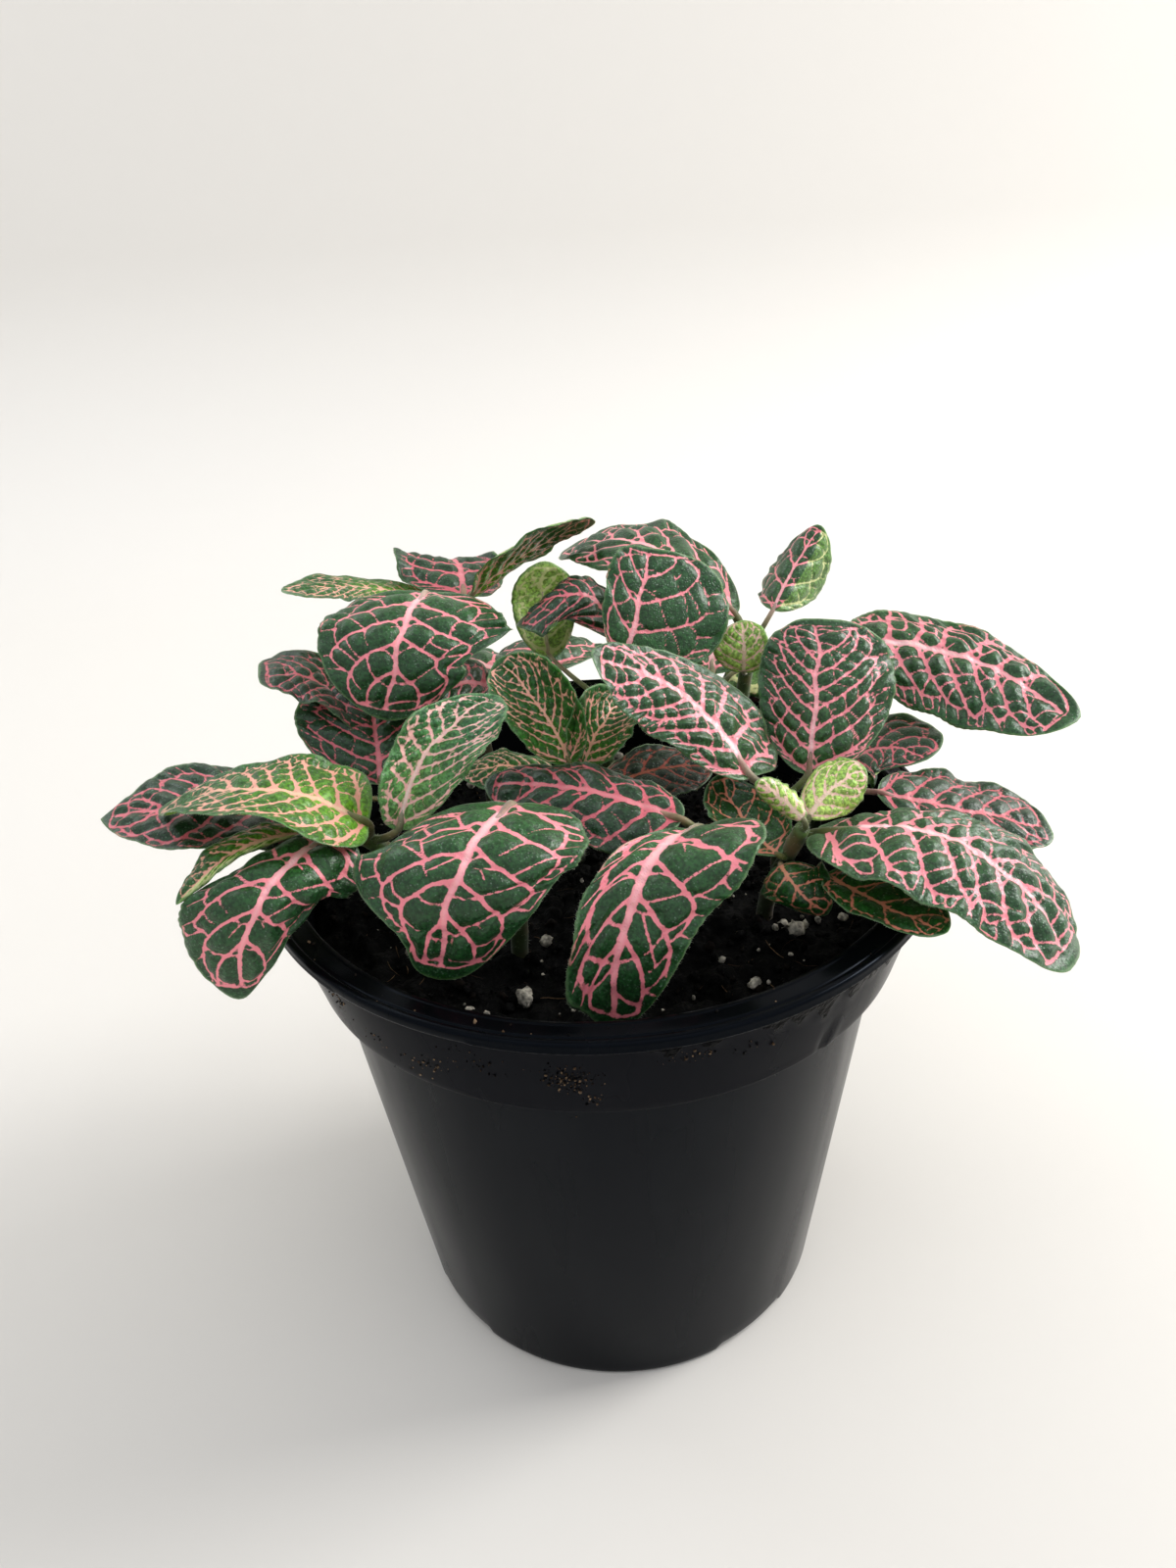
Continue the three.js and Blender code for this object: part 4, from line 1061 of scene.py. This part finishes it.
def pot_piece(materials):
    rng = np.random.default_rng(POT_SEED)
    points, angle, triangles, chart = lathe(pot_profile(), POT_SEGMENTS)
    radius = np.hypot(points[:, 0], points[:, 1])
    outward = points * (1, 1, 0) / np.maximum(radius, 1e-6)[:, None]
    points[:, 2] = base_relief(points, angle)
    height = points[:, 2]
    outside = (radius > wall_radius(height) - 0.2) & (height > 3)
    on_band = smoothstep(BAND_BASE, BAND_BASE + 2, height)
    on_band *= smoothstep(UNDER_LIP + 0.3, UNDER_LIP - 1.2, height)
    on_body = smoothstep(2, 20, height) * (1 - on_band) * (height < BAND_BASE)
    bulge = on_band * 0.1 * wobble(rng, angle / 360, 9)
    bulge += on_body * 0.08 * wobble(rng, angle / 360, 6)
    bulge += crease(angle, radius, height)
    depth = film_depth(angle, wobble(rng, angle / 360, 70, 9))
    film = np.where((height < UNDER_LIP + 0.6) & (depth > 0.05), height - (UNDER_LIP - depth), NO_FILM)
    bulge += FILM_THICKNESS * smoothstep(-0.25, 0.3, film)
    points = points + outward * (bulge * outside)[:, None]
    band = (height > BAND_BASE + 0.5) & (height < UNDER_LIP) & outside
    slot = band[triangles].all(axis=1).astype(int)
    patchwork = Patchwork(film=1)
    patchwork.add(points, triangles, [chart], slot=slot, film=np.where(outside, film, NO_FILM))
    return patchwork.piece("pot_shell", materials)


# Soil and grains

def ball(level):
    """Points and triangles of a sphere of radius 1, made from an octahedron split level times."""
    points = [(1, 0, 0), (-1, 0, 0), (0, 1, 0), (0, -1, 0), (0, 0, 1), (0, 0, -1)]
    triangles = [(0, 2, 4), (2, 1, 4), (1, 3, 4), (3, 0, 4), (2, 0, 5), (1, 2, 5), (3, 1, 5), (0, 3, 5)]
    for _ in range(level):
        halves = {}
        split = []

        def halfway(a, b):
            key = (min(a, b), max(a, b))
            if key not in halves:
                halves[key] = len(points)
                points.append(tuple(unit(np.array(points[a], float) + np.array(points[b], float))))
            return halves[key]

        for a, b, c in triangles:
            d, e, f = halfway(a, b), halfway(b, c), halfway(c, a)
            split += [(a, d, f), (d, b, e), (f, e, c), (d, e, f)]
        triangles = split
    return np.array(points, float), np.array(triangles)


def add_grains(patchwork, rng, centres, sizes, colours, level, roughness):
    """Irregular grains, each a ball pushed in and out at random and flattened a little."""
    shape, triangles = ball(level)
    count = len(centres)
    lumps = 1 + roughness * rng.uniform(-1, 1, (count, len(shape)))
    stretch = rng.uniform(0.65, 1.15, (count, 1, 3))
    turns = rng.uniform(0, TAU, count)
    grains = shape[None] * lumps[..., None] * stretch * np.asarray(sizes)[:, None, None]
    cosines, sines = np.cos(turns)[:, None], np.sin(turns)[:, None]
    x = grains[..., 0] * cosines - grains[..., 1] * sines
    y = grains[..., 0] * sines + grains[..., 1] * cosines
    points = (np.stack([x, y, grains[..., 2]], axis=2) + centres[:, None]).reshape(-1, 3)
    faces = (triangles[None] + len(shape) * np.arange(count)[:, None, None]).reshape(-1, 3)
    corner = np.tile(np.array([[0, 0], [0.5, 0], [0, 0.5]]), (len(triangles), 1, 1))
    corner = corner + 0.6 * in_rows(len(triangles), 16)[:, None]
    cell = corner.reshape(-1, 2).max(axis=0) + 0.2
    shift = in_rows(count, math.ceil(math.sqrt(count))) * cell
    chart = (corner[None] + shift[:, None, None]).reshape(-1, 3, 2)
    patchwork.add(points, faces, [chart], tint=np.repeat(colours, len(shape), axis=0))


def in_rows(count, columns):
    """Column and row of each of a number of things, laid out in rows."""
    place = np.arange(count)
    return np.stack([place % columns, place // columns], axis=1)


def picked(rng, colours, count):
    """One of the colours at random, or an array of them."""
    return linear(colours)[rng.integers(0, len(colours), count)]


def soil_height(x, y):
    """Height of the crumbly surface of the soil, before any loose grain is laid on it."""
    rng = np.random.default_rng(SOIL_WAVES_SEED)
    far = np.hypot(x, y) / LIP_INNER_RADIUS
    height = SOIL_TOP + SOIL_CROWN * (1 - far) - 0.9 * smoothstep(0.88, 0.98, far)
    for scale, rise in SOIL_WAVES:
        for _ in range(4):
            way, first, second = rng.uniform(0, TAU, 3)
            bend = 1.6 * np.sin(scale * 0.6 * (x * np.sin(way) - y * np.cos(way)) + first)
            along = scale * (x * np.cos(way) + y * np.sin(way))
            height = height + rise / 2 * np.sin(along + bend + second)
    return height


def soil_lumps(rng, x, y):
    """Rounded lumps pressed into the surface, as extra height."""
    extra = np.zeros_like(x)
    places = rng.uniform(-LIP_INNER_RADIUS, LIP_INNER_RADIUS, (SOIL_LUMPS, 2))
    sizes = 0.5 + 1.5 * rng.random(SOIL_LUMPS) ** 3
    for (cx, cy), size in zip(places, sizes):
        near = np.nonzero((np.abs(x - cx) < size) & (np.abs(y - cy) < size))[0]
        away = np.hypot(x[near] - cx, y[near] - cy) / size
        extra[near] = np.maximum(extra[near], 0.7 * size * np.sqrt(np.clip(1 - away ** 2, 0, 1)))
    return extra


def scattered(rng, edge, count):
    """Random places spread evenly over the soil."""
    radius = (edge - 1) * np.sqrt(rng.random(count))
    turn = rng.uniform(0, TAU, count)
    return radius * np.cos(turn), radius * np.sin(turn)


def lying(x, y, lift):
    """Points that lie on the soil, lifted a little."""
    return np.stack([x, y, soil_height(x, y) + lift], axis=1)


def soil_piece(material):
    rng = np.random.default_rng(SOIL_SEED)
    bottom = FLOOR + SOIL_GAP
    inner = BAND_BOTTOM_RADIUS - WALL
    edge = inner + (LIP_INNER_RADIUS - inner) * (SOIL_TOP - BAND_BASE) / BAND_HEIGHT - 3 * SOIL_GAP
    side = np.array([
        (0, bottom), (wall_radius(FLOOR) - 2 * WALL - 2 * SOIL_GAP, bottom),
        (wall_radius(bottom) - WALL - SOIL_GAP, bottom + 2 * WALL),
        (BODY_TOP_RADIUS - WALL - 2 * SOIL_GAP, BAND_BASE + SOIL_GAP),
        (BODY_TOP_RADIUS - WALL - SOIL_GAP, BAND_BASE + 2 * WALL), (edge - SOIL_GAP, SOIL_TOP - 3)])
    top = np.stack([edge * np.linspace(1, 0, SOIL_RINGS), np.full(SOIL_RINGS, SOIL_TOP)], axis=1)
    points, _, triangles, chart = lathe(np.vstack([side, top]), SOIL_SEGMENTS)
    surface = points[:, 2] == SOIL_TOP
    x, y = points[surface, 0], points[surface, 1]
    points[surface, 2] = soil_height(x, y) + soil_lumps(rng, x, y) - 0.35
    shade = rng.uniform(0.6, 1.5, len(points))[:, None]
    patchwork = Patchwork(tint=3)
    patchwork.add(points, triangles, [chart], tint=linear(SOIL_COLOUR) * shade)
    x, y = scattered(rng, edge, CRUMBS)
    sizes = 0.2 + 0.8 * rng.random(CRUMBS) ** 3
    tints = picked(rng, CRUMB_COLOURS, CRUMBS)
    add_grains(patchwork, rng, lying(x, y, 0.15 * sizes + 0.1), sizes, tints, 1, 0.25)
    add_perlite(patchwork, rng, edge)
    add_fibres(patchwork, rng, edge)
    return patchwork.piece("soil_mix", [material])


def add_perlite(patchwork, rng, edge):
    x, y = scattered(rng, edge, SMALL_PERLITE)
    small = np.stack([x, y, rng.uniform(0.14, 0.42, SMALL_PERLITE)], axis=1)
    for grains, level in ((np.array(PERLITE), 2), (small, 1)):
        x, y, sizes = grains.T
        tints = linear(PERLITE_COLOUR) * rng.uniform(0.75, 1, (len(grains), 1))
        add_grains(patchwork, rng, lying(x, y, 0.55 * sizes), sizes, tints, level, 0.22)


def add_fibres(patchwork, rng, edge):
    u = np.linspace(-0.5, 0.5, 8)
    for _ in range(FIBRES):
        x, y = (edge - 5) * math.sqrt(rng.random()) * unit(rng.normal(size=2))
        way = rng.uniform(0, TAU)
        run = rng.uniform(1.2, 5) * u
        bend = rng.uniform(-0.25, 0.25) * (run[-1] - run[0]) * u ** 2 * 4
        px = x + run * math.cos(way) - bend * math.sin(way)
        py = y + run * math.sin(way) + bend * math.cos(way)
        path = lying(px, py, 0.3 + rng.uniform(0, 0.6) * (1 - 4 * u ** 2))
        radii = rng.uniform(0.04, 0.1) * (1 - 0.6 * np.abs(2 * u))
        vertices, triangles, charts, _ = tube(path, radii, 5)
        patchwork.add(vertices, triangles, charts, tint=picked(rng, FIBRE_COLOURS, None))


def pot_face(height):
    """Outer radius of the pot at a height."""
    share = (height - BAND_BASE - 0.6) / (UNDER_LIP - BAND_BASE - 0.8)
    on_band = BAND_BOTTOM_RADIUS + (BAND_TOP_RADIUS - BAND_BOTTOM_RADIUS) * share
    below_lip = np.where(height > BAND_BASE + 0.6, on_band, wall_radius(height))
    return np.where(height > UNDER_LIP, LIP_RADIUS, below_lip)


def add_specks(patchwork, rng, turn, radius, height, sizes):
    """Specks around the pot, each turned from its front by an angle in radians."""
    centres = np.stack([radius * np.sin(turn), -radius * np.cos(turn), height], axis=1)
    add_grains(patchwork, rng, centres, sizes, picked(rng, SPECK_COLOURS, len(turn)), 1, 0.3)


def specks_piece(material):
    """Specks of soil that stick to the pot's band, body and lip."""
    rng = np.random.default_rng(SPECKS_SEED)
    patchwork = Patchwork(tint=3)
    angles, heights = [], []
    for angle, height, half_width, half_height, count in SPECK_CLUSTERS:
        spread = rng.normal(size=(count, 2)) * 0.55
        angles.append(angle + np.degrees(spread[:, 0] * half_width / BAND_TOP_RADIUS))
        heights.append(height + spread[:, 1] * half_height)
    turn = np.radians(np.concatenate(angles))
    height = np.minimum(np.concatenate(heights), UNDER_LIP - 0.3)
    sizes = 0.06 + 0.18 * rng.random(len(turn)) ** 3
    add_specks(patchwork, rng, turn, pot_face(height) + 0.25 * sizes, height, sizes)
    turn = rng.uniform(0, TAU, LIP_SPECKS)
    radius = rng.uniform(LIP_INNER_RADIUS + 0.6, LIP_RADIUS - 0.8, LIP_SPECKS)
    sizes = 0.08 + 0.28 * rng.random(LIP_SPECKS) ** 3
    add_specks(patchwork, rng, turn, radius, POT_HEIGHT - 0.12 + 0.2 * sizes, sizes)
    return patchwork.piece("pot_specks", [material])


# Materials

GLINT_COLOUR = (170, 190, 176)
RIM_COLOUR = (120, 150, 110)
SHEEN_COLOUR = (228, 236, 214)
FLUSH_COLOUR = (176, 110, 96)
FILM_COLOUR = (2, 2, 3)
SHINE_COLOUR = (214, 232, 255)
FLOOR_COLOUR = (222, 219, 214)
SKY_COLOUR = (238, 240, 244)

# How far red, green and blue light go inside a leaf, in metres
FLESH_DEPTHS = (0.0006, 0.0012, 0.0003)


class Paint:
    """A material with short ways to add nodes. Values are numbers, colours or other nodes' outputs."""

    def __init__(self, name, roughness, specular):
        self.material = bpy.data.materials.new(name)
        self.material.use_nodes = True
        self.tree = self.material.node_tree
        self.surface(Roughness=roughness, Specular_IOR_Level=specular)

    def feed(self, inputs, name, value):
        """Links another node's output to an input, or sets the input to a value."""
        place = int(name) if name.isdigit() else name.replace("_", " ")
        if isinstance(value, bpy.types.NodeSocket):
            self.tree.links.new(value, inputs[place])
        else:
            inputs[place].default_value = value

    def surface(self, **values):
        """Sets inputs of the shader by name."""
        for name, value in values.items():
            self.feed(self.tree.nodes["Principled BSDF"].inputs, name, value)

    def node(self, kind, output=0, **settings):
        """Output of a new node. Settings are its properties, or its inputs as in_name or in_number."""
        node = self.tree.nodes.new("ShaderNode" + kind)
        for key, value in settings.items():
            if key.startswith("in_"):
                self.feed(node.inputs, key[3:], value)
            else:
                setattr(node, key, value)
        return node.outputs[output]

    def place(self):
        """Where the point lies on the piece, in metres."""
        return self.node("TexCoord", "Object")

    def attribute(self, name, output="Fac"):
        return self.node("Attribute", output, attribute_name=name)

    def noise(self, scale, detail=3, place=None):
        place = place or self.place()
        return self.node("TexNoise", in_Vector=place, in_Scale=scale, in_Detail=detail)

    def ramp(self, value, low, high, start=0, end=1, kind="SMOOTHSTEP"):
        return self.node("MapRange", interpolation_type=kind, in_0=value, in_1=low, in_2=high, in_3=start,
                         in_4=end)

    def plus(self, a, b):
        return self.node("Math", operation="ADD", in_0=a, in_1=b)

    def times(self, a, b):
        return self.node("Math", operation="MULTIPLY", in_0=a, in_1=b)

    def between(self, factor, a, b):
        return self.node("Mix", data_type="FLOAT", in_0=factor, in_2=a, in_3=b)

    def blend(self, factor, a, b, kind="MIX"):
        return self.node("Mix", 2, data_type="RGBA", blend_type=kind, in_0=factor, in_6=a, in_7=b)

    def shaded(self, colour, shade):
        return self.blend(1, colour, shade, "MULTIPLY")

    def bump(self, strength, distance, height):
        bump = self.node("Bump", in_Strength=strength, in_Distance=distance, in_Height=height)
        self.surface(Normal=bump)

    def flesh(self, weight):
        """Lets light through, as plants do."""
        self.surface(Subsurface_Weight=weight, Subsurface_Radius=FLESH_DEPTHS, Subsurface_Scale=1)


def leaf_material():
    paint = Paint("leaf_velvet", 0.36, 0.55)
    jitter = paint.ramp(paint.noise(1400), 0.3, 0.7, -0.09, 0.09, "LINEAR")
    on_vein = paint.ramp(paint.plus(paint.attribute("vein"), jitter), -0.06, 0.09, 1, 0)
    mottle = paint.ramp(paint.noise(180, 4), 0.25, 0.75, 0.8, 1.2)
    velvet = paint.ramp(paint.noise(2000, 2), 0.32, 0.68, 0.62, 1.46)
    green = paint.shaded(paint.shaded(paint.attribute("blade", "Color"), mottle), velvet)
    beads = paint.node("TexVoronoi", "Distance", in_Vector=paint.place(), in_Scale=2300)
    bead = paint.ramp(beads, 0.12, 0.42, 1, 0)
    sparse = paint.ramp(paint.noise(900, 2), 0.42, 0.7)
    glint = paint.times(paint.times(bead, sparse), 0.3)
    green = paint.blend(glint, green, rgba(GLINT_COLOUR))
    colour = paint.blend(on_vein, green, paint.attribute("tint", "Color"))
    rim = paint.ramp(paint.plus(paint.attribute("edge"), jitter), 0.05, 0.42, 0.55, 0)
    paint.surface(Base_Color=paint.blend(rim, colour, rgba(RIM_COLOUR)))
    paint.bump(0.5, 0.00014, paint.plus(paint.times(bead, 0.6), paint.noise(2600, 2)))
    paint.surface(Sheen_Weight=0.1, Sheen_Roughness=0.4, Sheen_Tint=rgba(SHEEN_COLOUR))
    paint.flesh(0.12)
    return paint.material


def stem_material():
    paint = Paint("stem_skin", 0.5, 0.45)
    shade = paint.ramp(paint.noise(500, 4), 0.3, 0.7, 0.7, 1.25)
    green = paint.shaded(paint.attribute("blade", "Color"), shade)
    pink = paint.ramp(paint.noise(220, 2), 0.5, 0.75, 0, 0.3)
    paint.surface(Base_Color=paint.blend(pink, green, rgba(FLUSH_COLOUR)), Sheen_Weight=0.3)
    paint.bump(0.5, 0.00008, paint.noise(1800))
    paint.flesh(0.15)
    return paint.material


def pot_material(name, specular, plastic, dusty):
    paint = Paint(name, 0.26, specular)
    tall = paint.node("Mapping", in_Vector=paint.place(), in_Scale=(1, 1, 0.12))
    streaks = paint.noise(130, 2, tall)
    dust = paint.times(paint.ramp(paint.noise(60, 4), 0.45, 0.8), paint.ramp(streaks, 0.3, 0.8))
    ragged = paint.ramp(paint.noise(600, 4), 0.2, 0.8, -1, 1)
    film = paint.ramp(paint.plus(paint.attribute("film"), ragged), -0.05, 0.12)
    clean = paint.blend(dust, rgba(plastic), rgba(dusty))
    rough = paint.between(film, paint.ramp(streaks, 0.25, 0.75, 0.2, 0.3), 0.3)
    paint.surface(Base_Color=paint.blend(film, clean, rgba(FILM_COLOUR)), Roughness=rough,
                  Specular_Tint=rgba(SHINE_COLOUR))
    lumps = paint.times(paint.noise(900), 22)
    paint.bump(0.2, 0.0001, paint.between(film, paint.times(streaks, 0.5), lumps))
    return paint.material


def soil_material():
    paint = Paint("soil_crumbs", 0.85, 0.16)
    shade = paint.ramp(paint.noise(1100, 4), 0.25, 0.75, 0.35, 1.6)
    rough = paint.ramp(paint.noise(400, 2), 0.4, 0.7, 0.55, 0.95)
    paint.surface(Base_Color=paint.shaded(paint.attribute("tint", "Color"), shade), Roughness=rough)
    paint.bump(1, 0.0006, paint.noise(1300, 4))
    return paint.material


# Camera, light and floor

def facing(right, up, back, place):
    """Matrix of a thing whose own X, Y and Z axes point to the right, up and back."""
    return Matrix([*np.stack([right, up, back, place], axis=1).tolist(), (0, 0, 0, 1)])


def add_camera():
    camera = add_object("camera", bpy.data.cameras.new("camera"))
    camera.data.sensor_width = SENSOR_SIZE
    camera.data.lens = FOCAL_LENGTH
    camera.data.clip_start = 0.01
    pitch, yaw, roll = (math.radians(a) for a in (CAMERA_PITCH, CAMERA_YAW, CAMERA_ROLL))
    forward = np.array([math.sin(yaw) * math.cos(pitch), math.cos(yaw) * math.cos(pitch), -math.sin(pitch)])
    level = np.array([math.cos(yaw), -math.sin(yaw), 0])
    upright = np.cross(level, forward)
    right = level * math.cos(roll) + upright * math.sin(roll)
    up = -level * math.sin(roll) + upright * math.cos(roll)
    camera.matrix_world = facing(right, up, -forward, np.array(CAMERA_PLACE) * METRES)
    bpy.context.scene.camera = camera


def add_light(name, place, target, size, power, colour):
    light = bpy.data.lights.new(name, "AREA")
    light.shape = "RECTANGLE"
    light.size, light.size_y = size
    light.energy = power
    light.color = colour
    back = unit(np.array(place, float) - np.array(target, float))
    right = unit(np.cross((0, 0, 1), back))
    add_object(name, light).matrix_world = facing(right, np.cross(back, right), back, place)


def backdrop():
    """Floor that bends up smoothly into a wall behind the plant, as rows of points from front to back."""
    bend = 0.14
    start = 0.34
    steps = 12
    rows = [(-4, 0), (start, 0)]
    for i in range(1, steps + 1):
        angle = math.pi / 2 * i / steps
        rows.append((start + bend * math.sin(angle), bend * (1 - math.cos(angle))))
    rows.append((start + bend, 4))
    points = [(x, y, z) for y, z in rows for x in (-5, 5)]
    faces = [(2 * i, 2 * i + 1, 2 * i + 3, 2 * i + 2) for i in range(len(rows) - 1)]
    mesh = bpy.data.meshes.new("floor")
    mesh.from_pydata(points, [], faces)
    mesh.shade_smooth()
    return mesh


def add_studio():
    """World, lights, floor and look. Places, targets and sizes of the lights are in metres."""
    scene = bpy.context.scene
    scene.view_settings.view_transform = "Standard"
    scene.view_settings.look = "Medium High Contrast"
    world = bpy.data.worlds.new("studio")
    world.use_nodes = True
    background = world.node_tree.nodes["Background"]
    background.inputs["Color"].default_value = rgba(SKY_COLOUR)
    background.inputs["Strength"].default_value = 0.82
    scene.world = world
    add_light("window", (0.9, 0.22, 0.66), (0, 0, 0.08), (0.4, 0.7), 9, (1, 0.99, 0.975))
    add_light("back_window", (-0.4, 0.4, 0.62), (0, 0, 0.1), (0.5, 0.3), 1.3, (0.93, 0.97, 1))
    add_light("wall_wash", (0, -0.5, 1.5), (0, 0.48, 0.55), (1.6, 0.4), 1.6, (1, 0.98, 0.96))
    paint = Paint("floor_paint", 0.7, 0.2)
    paint.surface(Base_Color=rgba(FLOOR_COLOUR))
    mesh = backdrop()
    mesh.materials.append(paint.material)
    floor = add_object("floor", mesh)


add_camera()
add_studio()
leaf_skin = leaf_material()
stem_skin = stem_material()
soil_skin = soil_material()

body_skin = pot_material("pot_black", 0.15, (3, 4, 7), (14, 16, 19))
# Painted shade: the band is the body's black plastic again, with its reflection almost turned off and its
# colour set to the dark grey it shows, as if it reflected only the shaded floor next to the pot
shaded_band_skin = pot_material("pot_band_shaded", 0.03, (23, 24, 28), (29, 30, 34))
pot = pot_piece([body_skin, shaded_band_skin])
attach(pot, "root")
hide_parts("pot")

soil = soil_piece(soil_skin)
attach(soil, "root")
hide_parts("soil")

specks = specks_piece(soil_skin)
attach(specks, "root")

for number, (shoot_name, shoot_parts) in enumerate(SHOOTS.items()):
    shoot = shoot_piece(shoot_name, shoot_parts, FIRST_SHOOT_SEED + number, [leaf_skin, stem_skin])
    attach(shoot, "root")
    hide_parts(shoot_name)
